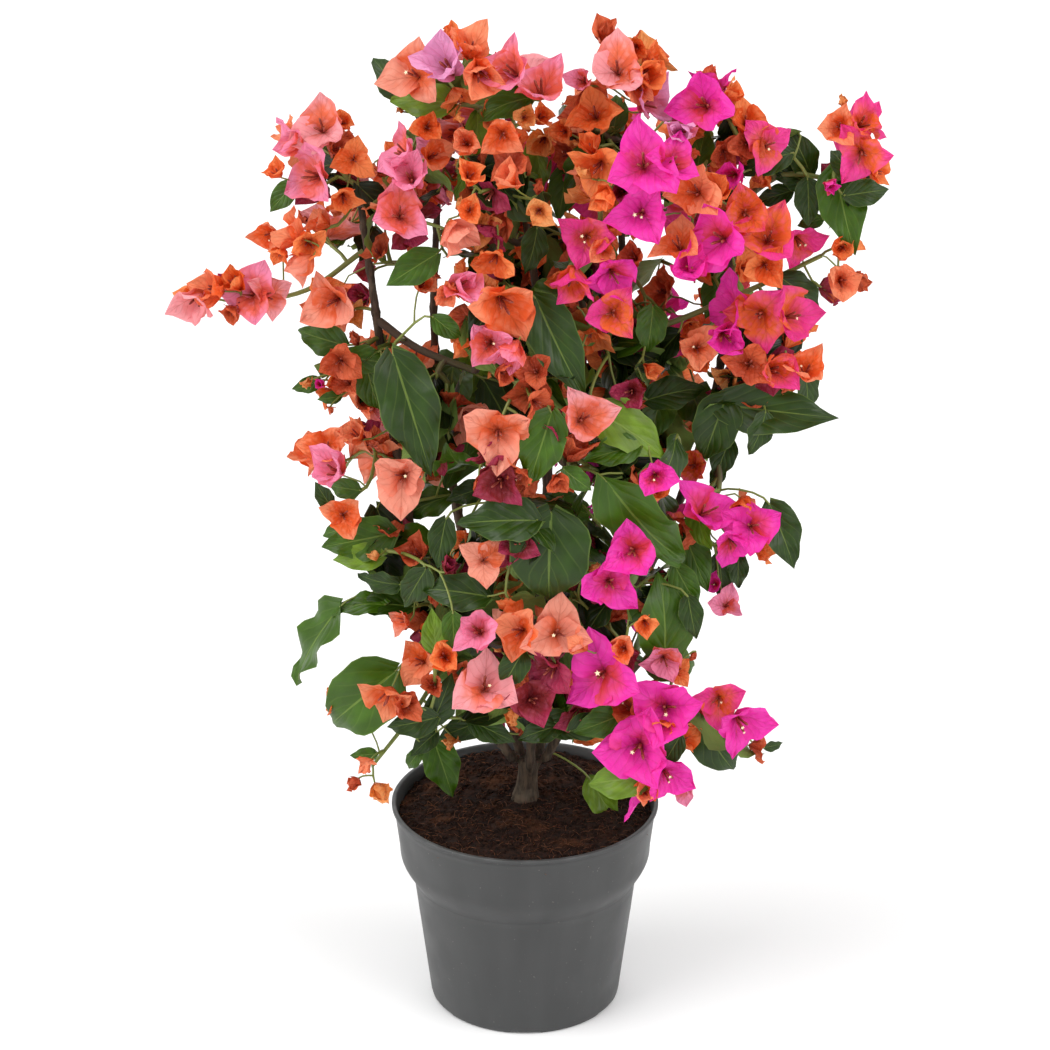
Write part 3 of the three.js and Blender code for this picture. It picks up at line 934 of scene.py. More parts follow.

# What is placed one by one, as it is seen from the front: how it is held, its tint, how far right and how
# high it lies, its length, the direction its first bract or its tip points to (0 is right, 90 is up),
# and how far it faces to the right and upwards. Lengths are in millimetres and angles in degrees.
PLACED = """
open blush -120 578 27 90 -10 25; cup rose -137 568 22 120 -65 10; open rose -128 547 30 100 -35 20
cup orange -147 550 14 180 -60 10; cup orange -107 580 15 90 20 30; wide orange -101 557 17 90 0 10
cup orange -107 533 19 250 10 0; leaf mid -143 534 26 230 -20 10; cup coral -140 512 24 160 -70 20
cup salmon -133 493 22 240 -60 -20; cup coral -122 519 17 150 -40 20; cup rose -68 548 28 60 15 25
open rose -74 524 27 90 0 25; open rose -74 563 24 120 -30 40; cup orange -57 577 17 60 10 10
lantern apricot -73 587 9 90 0 30; leaf young -62 592 42 175 0 35; leaf dark -78 606 40 150 -30 10
wide salmon -66 609 26 185 -25 15; cup lilac -47 615 33 90 -20 35; cup coral -32 625 25 60 10 45
tulip orange -43 630 16 95 0 60; cup coral -26 606 28 110 -20 10; open rose -10 611 27 80 -50 20
open rose 8 602 29 60 -5 20; lantern apricot -39 582 11 90 0 10; cup apricot 0 583 14 60 10 0
cup orange 10 583 15 0 30 0; leaf mid -14 590 38 200 0 40; leaf young -29 571 30 260 20 10
cup coral -35 567 20 100 -10 20; open coral -13 571 20 200 0 10; cup apricot 10 568 21 110 0 -10
cup orange -32 548 18 30 0 0; tulip coral -9 545 22 100 0 50; cup salmon -40 511 27 100 25 10
cup orange -33 526 14 60 10 10; leaf dark 4 500 30 250 20 10; cup apricot 8 525 17 90 0 0
open orange 41 586 24 95 -5 10; open blush 53 613 28 90 -5 35; cup rose 33 605 17 160 -30 20
tulip orange 70 608 27 45 30 30; cup coral 66 600 20 330 20 -10; cup lilac 73 592 27 280 20 -10
tulip lilac 92 573 24 270 0 -10; wide magenta 70 556 31 85 0 20; open magenta 88 556 24 60 30 20
open magenta 68 524 27 60 10 0; tulip orange 47 535 18 80 0 0; open sunset 36 509 25 10 0 15
open coral 90 507 24 100 -35 10; open magenta 104 591 30 85 -5 25; tulip orange 121 596 15 70 30 30
cup orange 130 581 20 90 10 30; open ember 132 567 18 200 0 0; open sunset 143 565 22 20 30 10
open ember 117 560 16 60 0 0; leaf mid 104 566 30 80 -10 0; leaf dark 140 556 36 200 0 30
leaf dark 155 548 34 160 20 20; leaf dark 162 562 36 120 30 0; open coral 99 538 25 190 -10 10
cup orange 112 537 26 20 20 10; open magenta 114 509 31 110 0 0; open sunset 145 510 29 60 15 15
open sunset 131 524 24 90 0 30; cup magenta 99 492 26 180 -30 -20; open orange 143 491 20 300 0 0
open sunset 164 505 22 250 20 -10; cup coral 184 577 21 180 -40 20; cup sunset 199 580 24 80 20 40
open sunset 199 559 27 0 10 10; cup orange 209 549 15 300 30 -10; tulip magenta 180 541 13 270 0 -20
leaf mid 188 524 56 280 0 15; leaf dark 202 537 30 10 20 20; cup orange 189 503 17 80 10 10
cup coral 190 482 24 20 40 20; leaf dark 166 474 38 320 10 30; leaf mid 114 474 36 250 0 20
cup blush -198 468 27 190 -60 -10; cup coral -188 477 24 170 -50 20; tulip orange -173 482 20 90 0 30
open rose -165 473 25 60 -10 5; open blush -152 474 21 30 50 5; cup ember -176 463 15 270 0 -30
open salmon -116 468 28 100 -5 10; cup apricot -103 462 16 300 0 0; leaf mid -123 446 36 165 -20 20
leaf mid -92 432 34 350 0 15; leaf mid -93 413 40 280 0 10; open ember -112 431 20 200 0 0
open coral -80 428 25 20 20 0; lantern apricot -132 418 14 180 -20 10; tulip magenta -124 417 9 0 20 0
leaf mid -119 408 16 190 0 20; lantern ember -118 401 9 270 0 -20; open coral -122 377 21 170 -20 5
cup rose -119 362 27 260 -40 -10; cup coral -104 385 20 100 -20 10; slim dark -67 396 82 288 0 10
tulip rose -38 480 27 270 -10 -10; open orange -19 494 20 90 0 0; open coral -12 466 31 300 5 -5
cup rose -22 442 25 250 -10 -20; cup rose -8 436 24 200 0 -10; slim dark 20 438 72 292 0 15
leaf mid 12 472 40 190 0 40; cup sunset 28 482 26 240 0 -15; open magenta 54 485 24 60 20 0
open sunset 52 462 24 300 20 0; leaf mid 75 450 32 260 10 20; leaf dark -14 400 50 300 20 0
leaf mid 9 373 52 255 0 15; open salmon -16 383 30 270 0 5; open blush 36 396 28 0 10 20
open ember 8 403 18 200 0 0; leaf young 66 385 58 325 10 30; leaf mid 52 372 36 200 0 40
leaf dark 92 412 40 20 0 35; cup wine 64 412 20 60 -10 0; slim dark 154 398 80 350 0 20
leaf dark 114 386 48 250 0 25; leaf dark 142 384 30 250 20 10; open magenta 121 464 27 100 -10 10
cup magenta 121 447 26 300 -20 -10; open sunset 140 461 28 50 0 15; open sunset 163 461 26 10 35 10
open coral 104 440 22 150 0 10; open ember 136 430 22 60 0 0; cup sunset 152 426 27 310 20 0
cup coral 170 428 24 70 30 30; leaf dark 170 411 30 270 30 0; open sunset 102 364 20 150 0 10
cup magenta 80 357 22 0 0 30; open magenta 113 336 29 120 5 10; open magenta 141 324 27 30 15 0
cup orange 133 338 14 90 0 10; leaf dark 159 317 46 288 10 20; open magenta 128 311 20 250 10 -10
leaf mid 106 299 42 290 0 15; leaf dark 121 290 32 270 10 10; open rose 126 272 18 300 10 5
open salmon -76 356 29 20 0 10; leaf mid -62 338 38 205 0 30; open coral -112 332 20 290 -10 0
leaf mid -104 314 48 195 0 25; leaf young -104 303 34 186 0 30; leaf dark -92 288 30 170 0 -10
leaf dark -90 271 42 178 0 60; leaf mid -130 242 68 240 -68 26; leaf mid -106 271 40 176 -10 68
leaf mid -108 204 73 220 -10 10
open coral -88 206 26 265 -20 -20; cup ember -75 203 20 300 10 -10; open coral -67 233 22 120 -20 20
cup orange -51 236 22 80 0 10; cup salmon -77 261 15 150 -20 10; leaf young -56 255 30 90 0 0
leaf dark -72 190 34 195 0 10; leaf dark -52 208 38 70 0 0; lantern apricot -47 177 19 270 0 0
leaf mid -51 158 42 290 0 20; leaf dark -65 176 24 220 0 10; leaf mid -103 168 18 185 0 20
lantern coral -101 161 19 270 0 -20; lantern ember -109 147 17 250 0 0; lantern apricot -92 141 24 270 0 -10
wide salmon -25 302 21 270 0 10; broad dark 14 299 66 266 0 15
leaf dark -18 327 52 185 0 35; leaf mid 28 336 40 340 0 45; slim mid 77 322 96 305 0 -22
leaf mid 87 264 62 90 10 5; open magenta 66 307 27 85 5 15; open magenta 53 285 28 200 0 5
open salmon 20 252 28 330 0 10; open coral -5 254 25 150 -20 10; cup rose -30 254 28 120 -20 20
open blush -25 218 30 90 0 10; leaf dark -45 281 46 170 0 30; wide magenta 47 223 33 100 0 5
open wine 14 226 26 100 0 10; open wine 5 206 24 160 0 0; open wine 35 193 24 330 0 -10
lantern apricot -8 194 19 270 10 -10; leaf dark -9 226 30 240 0 10; cup orange 75 258 15 270 0 0
cup coral 61 242 18 60 10 10; open rose 88 233 20 60 10 10; leaf mid 95 231 40 355 10 30
open orange 96 226 14 180 0 0; leaf mid 48 190 40 205 0 20; open magenta 72 170 35 310 -15 0
open magenta 90 200 32 20 10 15; cup orange 88 186 17 90 0 0; open magenta 92 152 25 340 10 -10
cup coral 77 141 18 300 0 -10; leaf young 57 151 46 185 0 20; leaf young 51 134 38 300 0 20
open sunset 122 205 22 160 0 -20; open magenta 138 188 30 5 20 0; leaf dark 122 171 50 300 0 15
leaf dark 158 175 14 10 10 0
leaf mid -68 489 38 215 0 20; cup orange -128 505 21 300 -20 0; cup coral -46 474 18 200 0 10
leaf mid 22 536 36 260 0 10; leaf mid 54 588 24 80 0 20; leaf dark 146 534 26 200 0 20
leaf mid 168 519 18 190 0 10; cup ember 64 498 16 90 0 0; leaf dark 120 368 30 250 0 20
leaf mid 101 283 34 300 0 10; leaf dark 104 262 30 280 0 10; leaf dark 132 293 26 270 0 10
leaf mid -112 350 22 170 0 20; leaf mid -116 322 26 190 0 20; leaf dark -52 312 34 260 0 10
open wine -16 352 24 90 0 10; leaf dark -37 346 30 200 0 20; leaf mid 33 354 24 320 0 20
leaf mid -45 251 28 270 0 10; cup ember -58 217 16 200 0 0; leaf dark -40 186 36 205 0 30
leaf dark -20 184 34 330 0 30; leaf dark 8 184 32 200 0 30; leaf dark 26 188 34 340 0 30
leaf dark 44 190 34 20 0 30; leaf dark 92 170 26 240 0 10; leaf mid -72 164 20 230 -10 10
leaf dark 186 556 24 120 0 20; cup magenta 122 548 20 90 0 20
cup orange 22 574 15 60 0 0; leaf dark 168 530 30 275 0 10; lantern ember 138 545 13 200 0 0
cup coral -153 510 19 190 -40 10; cup orange -146 499 14 230 0 0; leaf mid -133 416 20 200 0 10
cup coral 46 502 15 90 0 0; leaf mid -46 452 24 320 0 10; cup ember -13 424 15 200 0 0
leaf dark 117 356 20 250 0 10; cup magenta 117 286 13 90 0 0; cup ember 20 354 14 90 0 0
cup rose 100 144 18 300 0 -20; leaf dark -124 346 20 120 0 10
"""

# Where sky shows through the crown or beside it, as seen from the front: how far right, how high, and
# how wide the opening is about that point, in millimetres. Nothing is dealt a place there.
OPENINGS = """
-88 592 19; -85 628 12; -72 630 10; -8 636 17; 12 632 18; 30 620 13; 60 648 12; -62 638 9
26 600 6; 62 594 6; 82 588 7
92 612 10; 140 592 9; 152 582 8; 166 574 9; 172 558 7; -152 584 8; -158 556 9; -150 545 7; 214 532 10
210 518 8; -128 502 9; -142 496 8; -108 488 8; -78 474 13; -62 452 9; -88 458 7
84 496 13; -196 498 8; -194 456 9; -132 480 8; -138 432 8; -114 398 10; -128 392 9; -100 345 11
-55 322 10; 150 376 12; 170 382 10; 134 378 8; 148 352 12; 130 350 8; 114 300 10; 122 288 7; -118 292 13
-104 262 17; -84 246 8; -130 262 12; -70 208 8; -96 184 10; -104 172 8; -84 160 10; -98 142 10; 105 258 8
108 216 8; 130 214 8; 104 155 14; 140 150 10; 180 446 8; 172 424 8; 176 396 8
38 648 10; 96 630 12; -126 608 9; -148 590 12; -6 630 8; 68 636 8; 134 606 8; 190 602 7; 106 580 5
-88 568 9; -70 574 5; -78 502 6; -55 512 5; 176 490 8; 146 478 7; 208 492 7; 98 466 6; -190 496 7
-164 460 8; -146 364 8; 130 345 7; 152 346 7; 112 303 6; 150 218 10; 168 206 9; -90 232 5; -128 150 9
"""

# How broad each kind of leaf is for its length.
BREADTH = {"leaf": 1.0, "slim": 0.76, "broad": 1.24}

# How far each kind strays from the direction given for it, in degrees.
STRAY = {"leaf": 3, "slim": 3, "broad": 3, "wide": 8, "open": 15, "cup": 22, "tulip": 18, "lantern": 20}

# What is placed one by one is drawn a little smaller than it is given. A bloom comes out of the nearest
# surface within a share of its length, a leaf lies behind it by another share, and both stay clear of
# the front of the plant's box.
PLACED_SCALE = 0.92
BLOOM_AHEAD = 11 * MM
BLOOM_REACH = 0.3
LEAF_BEHIND = 0.1
FRONT_CLEARANCE = 9 * MM

# How many places are tried on a mass, and how far in front of one nothing may stand.
PLACES_TRIED = 500
CLEAR_AHEAD = 22 * MM

# How deep inner leaves and inner blooms are set under the surface.
INNER_LEAF_DEPTH = (12 * MM, 38 * MM)
INNER_BLOOM_DEPTH = (6 * MM, 18 * MM)

# Below this share of the plant's height the leaves are full-grown, and above it they are smaller.
LOW_SHARE = 0.72
HIGH_LEAF = 0.75

# What grows low on each stem: how many, between which heights, and how far from the stem's middle.
LOW_COUNT = 22
LOW_HEIGHTS = (152 * MM, 265 * MM)
LOW_REACH = (12 * MM, 40 * MM)

# Low growth keeps above this height within this much of the middle, where it would hide the pot.
RIM_HEIGHT = 172 * MM
RIM_REACH = 120 * MM

# Nothing crosses a placed bloom in front of it, or less than this far behind its centre.
CROWD_DEPTH = 9 * MM

# How far a tip may stand out of the plant's box, to the front or the back.
TIP_PAST = 4 * MM


class Site:
    """A place for one bloom, bud or leaf: where it sits, where it points and what it is.

    A bloom points along its axis, and beside is where its first bract leans. A leaf points to its tip,
    and beside is what its upper side faces.
    """

    def __init__(self, kind, tint_name, size, place, out, beside, breadth=1.0):
        self.kind, self.tint, self.size, self.breadth = kind, tint_name, size, breadth
        self.place, self.out, self.beside = place, out, beside
        self.is_leaf = kind == "leaf"

    def middle(self):
        return self.place + self.out * self.size * (0.5 if self.is_leaf else 0.4)

    def axes(self):
        """The leaf's or bloom's own axes as columns, scaled to its size.

        A bloom's are its first bract's side, the side across, and its own axis. A leaf's are along to
        its tip, across, and its upper side.
        """
        if self.is_leaf:
            across = np.cross(self.beside, self.out) * self.breadth
            return np.column_stack([self.out, across, self.beside]) * self.size
        return np.column_stack([self.beside, np.cross(self.out, self.beside), self.out]) * self.size


def table_rows(table):
    """The rows of a table, which are split by semicolons or ends of lines, as lists of words."""
    return [row.split() for row in table.replace(";", "\n").strip().splitlines()]


def chosen(rng, shares):
    names = sorted(shares)
    weights = np.array([shares[n] for n in names], float)
    return names[rng.choice(len(names), p=weights / weights.sum())]


def squared(vector, axis):
    """The part of vector that lies across axis, as a unit vector."""
    return unit(vector - axis * (vector @ axis))


@functools.cache
def eye():
    """Where the front view is taken from."""
    stage = settings("stage")
    return np.array([0, -stage.distance, stage.height])


def surface_level(middle, reach):
    """How far back the crown's surface is at a place on the middle plane, or nearest within reach."""
    tree, levels = solid_masses(), []
    for right, up in ((0, 0), (reach, 0), (-reach, 0), (0, reach), (0, -reach)):
        sight = unit(middle + (right, 0, up) - eye())
        hit = tree.ray_cast(Vector(eye()), Vector(sight))[0]
        if hit is not None and hit.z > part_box("pot")[1].z:
            levels.append(hit.y)
    return min(levels) if levels else tree.find_nearest(Vector(middle))[0].y


@functools.cache
def placed_sites():
    """The sites of PLACED, each set back along the line of sight to the crown's surface."""
    rng = np.random.default_rng(settings("crown").seed)
    sites = []
    for hold, tint_name, *numbers in table_rows(PLACED):
        x, z, size, aim, yaw, pitch = map(float, numbers)
        size *= MM
        middle = np.array([x, 0, z]) * MM
        sight = unit(middle - eye())
        if hold in BREADTH:
            level = surface_level(middle, 0) + LEAF_BEHIND * size
        else:
            level = surface_level(middle, BLOOM_REACH * size) - BLOOM_AHEAD
        level = max(level, CAD_BOX[0][1] + FRONT_CLEARANCE)
        place = eye() + sight * ((level - eye()[1]) / sight[1])
        stray = STRAY[hold]
        yaw, pitch = yaw + rng.normal() * stray, pitch + rng.normal() * stray + 0.5 * stray
        aim, yaw, pitch = map(math.radians, (aim, yaw, pitch))
        level_out = math.cos(pitch)
        face = np.array([math.sin(yaw) * level_out, -math.cos(yaw) * level_out, math.sin(pitch)])
        along = squared(np.array([math.cos(aim), 0, math.sin(aim)]), face)
        size *= PLACED_SCALE
        if hold in BREADTH:
            base = place - along * size * 0.5
            sites.append(Site("leaf", tint_name, size, base, along, face, BREADTH[hold]))
        else:
            sites.append(Site(hold, tint_name, size, place - face * size * 0.45, face, along))
    return sites


def bloom_site(rng, growth, tint_shares, place, out):
    """A bloom that is sunk a little into the surface and faces outwards, more or less."""
    holds, sizes = GROWTH[growth]
    size = settings("crown").bract * rng.uniform(*sizes)
    facing = unit(0.55 * out + 0.25 * UP + 0.6 * rng.normal(size=3))
    facing = unit(facing + out * max(0.0, 0.1 - facing @ out))
    depth = size * rng.uniform(0.3, 0.75)
    beside = squared(rng.normal(size=3), facing)
    return Site(chosen(rng, holds), chosen(rng, tint_shares), size, place - out * depth, facing, beside)


def leaf_site(rng, place, out, low, depth=0.0):
    """A leaf lies against the surface, or deep under it, with its upper side out and its tip hanging."""
    size = settings("crown").leaf * rng.uniform(0.5, 1.0) * (1.0 if low else HIGH_LEAF)
    face = unit(0.75 * out + 0.45 * UP + 0.3 * rng.normal(size=3))
    tip = squared(unit(-0.75 * UP + 0.4 * out + 0.6 * rng.normal(size=3)), face)
    age = "young" if rng.random() < 0.12 else ("dark" if rng.random() < 0.5 else "mid")
    base = place - tip * size * 0.5 - out * (rng.uniform(3, 15) * MM + depth)
    # A leaf set deep under the surface takes the deep green, painted shade for the inside of the crown.
    return Site("leaf", "deep" if depth else age, size, base, tip, face)


@functools.cache
def openings():
    """The rows of OPENINGS as an array, in metres."""
    return np.array(table_rows(OPENINGS), float) * MM


def seen_at(place):
    """Where a place is seen from the front: how far right and how high on the plant's middle plane."""
    middle = eye() + (place - eye()) * (-eye()[1] / (place[1] - eye()[1]))
    return middle[0], middle[2]


def is_open(site):
    """Whether a site would stand in an opening."""
    across, height = seen_at(site.middle())
    gaps = openings()
    away = np.hypot(gaps[:, 0] - across, gaps[:, 1] - height)
    return bool((away < gaps[:, 2] + 0.3 * site.size).any())


def crowds(site):
    """Whether a site would run into a bloom that was placed one by one, or cover it."""
    span = site.size * (1.0 if site.is_leaf else 0.4)
    for other in placed_sites():
        if other.is_leaf:
            continue
        centre = other.middle()
        along = np.clip((centre - site.place) @ site.out, 0, span)
        apart = site.place + site.out * along - centre
        near = 0.45 * other.size + 0.22 * site.size
        if apart[1] < CROWD_DEPTH and math.hypot(apart[0], apart[2]) < near:
            return True
    return False


def sticks_out(site):
    """Whether a tip would stand out of the plant's box, to the front or the back."""
    tip = site.place + site.out * site.size * (1.0 if site.is_leaf else 0.5)
    return not CAD_BOX[0][1] - TIP_PAST < tip[1] < CAD_BOX[1][1] + TIP_PAST


def low_sites(rng, line):
    """Leaves, and a few blooms, low down on one stem, away from the front."""
    low = line[(line[:, 2] > LOW_HEIGHTS[0]) & (line[:, 2] < LOW_HEIGHTS[1])]
    sites = []
    for k in range(LOW_COUNT):
        turn = rng.uniform(-0.25, math.pi + 0.25)
        out = unit([math.cos(turn), math.sin(turn), 0.15])
        place = low[rng.integers(len(low)), :3] + out * rng.uniform(*LOW_REACH)
        if k % 5 == 4:
            site = bloom_site(rng, "low", LOW_TINTS, place, out)
        else:
            site = leaf_site(rng, place, out, True)
        across, height = seen_at(site.middle())
        if height - 0.5 * site.size > RIM_HEIGHT or abs(across) > RIM_REACH:
            sites.append(site)
    return sites


@functools.cache
def characters():
    """The rows of CHARACTER by the masses' names."""
    return {name: row for name, *row in table_rows(CHARACTER)}


def dealt_sites(rng, name, by_hand, low_line):
    """What one mass is dealt over its open surface, each as far as can be from what is there."""
    tints_name, *counts = characters()[name]
    blooms, young, leaves, buds = map(int, counts)
    full, small = TINTS[tints_name]
    places = open_places(name, rng, PLACES_TRIED, CLEAR_AHEAD)
    if not places:
        raise RuntimeError(f"{name} has no open surface")
    taken = list(by_hand)
    sites = []

    def deal(count):
        dealt = spread_out(places, taken, count)
        taken.extend(p for p, _ in dealt)
        return dealt

    for place, out in deal(blooms):
        sites.append(bloom_site(rng, "full", full, place, out))
    for place, out in deal(leaves):
        sites.append(leaf_site(rng, place, out, place[2] < low_line))
    # Inner leaves, set under the surface, are painted in the deep green as shade.
    for place, out in deal(leaves + 2):
        depth = rng.uniform(*INNER_LEAF_DEPTH)
        sites.append(leaf_site(rng, place, out, place[2] < low_line, depth))
    # Inner blooms, set under the surface, take dark tints as painted shade.
    for place, out in deal(leaves // 2 + 1):
        inner = place - out * rng.uniform(*INNER_BLOOM_DEPTH)
        sites.append(bloom_site(rng, "inner", SHADED_INNER_TINTS, inner, out))
    for place, out in deal(young):
        sites.append(bloom_site(rng, "young", small, place, out))
    for place, out in deal(buds):
        outer = place + out * 0.15 * settings("crown").bract
        sites.append(bloom_site(rng, "bud", BUD_TINTS, outer, out))
    return sites


@functools.cache
def crown_sites():
    """Every bloom, bud and leaf of the crown."""
    seed = settings("crown").seed
    low_line = CAD_BOX[0][2] + LOW_SHARE * (CAD_BOX[1][2] - CAD_BOX[0][2])
    by_hand = [site.middle() for site in placed_sites()]
    dealt = []
    for index, name in enumerate(MASSES):
        dealt += dealt_sites(np.random.default_rng([seed, index]), name, by_hand, low_line)
    for index, name in enumerate(STEMS, len(MASSES)):
        dealt += low_sites(np.random.default_rng([seed, index]), limb_lines()[name])
    kept = [s for s in dealt if not (is_open(s) or crowds(s) or sticks_out(s))]
    return placed_sites() + kept


# ---- the branching rule -------------------------------------------------------------------------
STALK_STEP = 7 * MM


def hermite(start, leave, end, arrive, steps):
    """Points on the curve that leaves start and arrives at end along the given vectors."""
    line = []
    for t in np.linspace(0, 1, steps + 1):
        h1, h2 = 2 * t ** 3 - 3 * t * t + 1, t ** 3 - 2 * t * t + t
        h3, h4 = -2 * t ** 3 + 3 * t * t, t ** 3 - t * t
        line.append(h1 * start + h2 * leave + h3 * end + h4 * arrive)
    return line


@functools.cache
def grown_stalks():
    """A stalk for every site, grown from the nearest limb or earlier stalk that suits it.

    Returns each stalk's points and its radii. A stalk thickens with the number that it carries.
    """
    rng = np.random.default_rng(settings("crown").seed)
    sites = crown_sites()
    cloud = np.concatenate([line[:, :3] for line in limb_lines().values()])
    tree = KDTree(len(cloud))
    for k, point in enumerate(cloud):
        tree.insert(Vector(point), k)
    tree.balance()
    parents = [-1] * len(cloud)
    # How far each point is from a limb along its stalks.
    run = np.zeros(len(cloud))
    stalks = []
    for site in sorted(sites, key=lambda s: tree.find(Vector(s.place))[2]):
        away = np.linalg.norm(cloud - site.place, axis=1)
        behind = (site.place - cloud) @ site.out / np.maximum(away, 1e-6)
        # The nearest point costs least. One in front of the site, far from a limb, or so near that the
        # stalk would be a mere stub costs more.
        cost = away * (1 + 0.45 * (behind < 0.1)) + 0.22 * run + 0.01 * (away < 8 * MM)
        near = int(np.argmin(cost))
        origin, end = cloud[near], site.place
        gap = away[near]
        steps = max(3, round(gap / STALK_STEP))
        arrive = site.out * gap * 0.8
        leave = (end - origin) * 0.6 + UP * gap * 0.35 + rng.normal(size=3) * gap * 0.12
        line = hermite(origin, leave, end, arrive, steps)
        first = len(cloud)
        parents += [near, *range(first, first + steps - 1)]
        lengths = run[near] + gap * np.arange(1, steps + 1) / steps
        # The last stretch under a bloom or leaf carries nothing else.
        lengths[-1] += 1.0
        cloud = np.vstack([cloud, line[1:]])
        run = np.concatenate([run, lengths])
        stalks.append((first, steps, line, site))
    load = np.zeros(len(cloud))
    for first, steps, _, _ in stalks:
        node = first + steps - 1
        while node != -1:
            load[node] += 1
            node = parents[node]
    made = []
    for first, steps, line, site in stalks:
        carried = load[first:first + steps]
        radii = settings("crown").twig * carried ** 0.4 * (1.25 if site.is_leaf else 1.0)
        made.append((np.array(line), np.concatenate([[radii[0] * 1.15], radii])))
    return made


# ---- operators ----------------------------------------------------------------------------------
# The pot's section in millimetres: the radii and heights of its foot's edge, and how far inside and
# below the rim's outer corner each point of its lip lies.
POT_FOOT = ((57.8, 0), (59.6, 0.4), (60.6, 1.6), (61.2, 4))
POT_LIP = ((0.5, 2.75), (0, 2.1), (0, 0.7), (0.35, 0.15), (0.9, 0), (2.2, 0.1), (2.8, 0.6))
POT_FLOOR = 3 * MM
POT_SIDES = 240

# The radii at the top of the body, at the collar and under the lip, and how far below the rim they lie.
BODY_RADIUS, COLLAR_RADIUS, LIP_RADIUS = 71.4 * MM, 79.8 * MM, 83.4 * MM
BODY_DROP, COLLAR_DROP, LIP_DROP = 51.5 * MM, 32.5 * MM, 3 * MM

# The drainage notches in the foot: how many, and their half width, slope, height and reach upwards.
NOTCHES = 6
NOTCH_HALF, NOTCH_SLOPE = math.radians(9.6), math.radians(1.2)
NOTCH_HEIGHT, NOTCH_BELOW = 2 * MM, 1.7 * MM

# The rings and sides of the ground, and the heights and radii of the peat's wall under it.
GROUND_RINGS = 64
GROUND_SIDES = 200
PEAT_WALL = ((105 * MM, 77.2 * MM), (86 * MM, 69 * MM), (4 * MM, 59 * MM))

# The trunk's and the stems' sides, how finely the stems are drawn, and their common skin's grain.
TRUNK_SIDES = 28
STEM_SIDES = 10
STEM_STEP = 2.5 * MM
SKIN_GRAIN = 0.95 * MM

# The twigs' sides, and the thickness at which they are all brown.
TWIG_SIDES = 6
BROWN_AT = 3.3 * MM


class BOUGAINVILLEA_OT_pot(bpy.types.Operator):
    """Turns the pot: foot, drainage notches, wall, sloped collar and rolled lip"""

    bl_idname = "bougainvillea.pot"
    bl_label = "Pot"

    def execute(self, context):
        mesh = turned_mesh(self.section(), POT_SIDES, self.notched, first=0.5)
        bmesh.ops.recalc_face_normals(mesh, faces=mesh.faces)
        piece = smooth_piece("nursery_pot", mesh)
        finish_piece(piece, plastic_material("moulded_plastic"), ["pot"])
        return {"FINISHED"}

    @staticmethod
    def section():
        """Radii and heights from under the pot's middle, up its outside and down to its inner floor."""
        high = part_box("pot")[1]
        rim, height = high.x, high.z
        body_top, collar, lip = height - BODY_DROP, height - COLLAR_DROP, height - LIP_DROP
        outer = [(r * MM, z * MM) for r, z in POT_FOOT]
        foot_radius, foot_top = outer[-1]
        # A faint moulding line runs round the body a third of the way down from its top.
        seam = body_top * 0.74
        for t in np.linspace(0.08, 1, 14):
            z = foot_top + (body_top - foot_top) * t
            swell = 0.12 * MM * math.exp(-(((z - seam) / (1.2 * MM)) ** 2))
            outer.append((foot_radius + (BODY_RADIUS - foot_radius) * t + swell, z))
        for t in np.linspace(0.02, 1, 9):
            swell = (COLLAR_RADIUS - BODY_RADIUS) * math.sin(t * math.pi / 2) ** 1.15
            outer.append((BODY_RADIUS + 0.25 * MM + swell, body_top + (collar - body_top) * t))
        for t in np.linspace(0.15, 1, 6):
            outer.append((COLLAR_RADIUS + (LIP_RADIUS - COLLAR_RADIUS) * t, collar + (lip - collar) * t))
        wall = settings("pot").wall
        inner = [(r - wall, z) for r, z in outer[:len(POT_FOOT) - 1:-1][1:]]
        outer += [(rim - inset * MM, height - drop * MM) for inset, drop in POT_LIP]
        inner.append((inner[-1][0] - 1.5 * MM, POT_FLOOR))
        return [(0, 0), *outer, *inner, (0, POT_FLOOR)]

    @staticmethod
    def notched(x, y, z):
        """The height of a point of the foot's edge, lifted where water drains out under it."""
        between = math.tau / NOTCHES
        off = abs((math.atan2(y, x) - math.pi / 2 + between / 2) % between - between / 2)
        if z > NOTCH_BELOW or off > NOTCH_HALF:
            return z
        return max(z, NOTCH_HEIGHT * min(1.0, (NOTCH_HALF - off) / NOTCH_SLOPE))


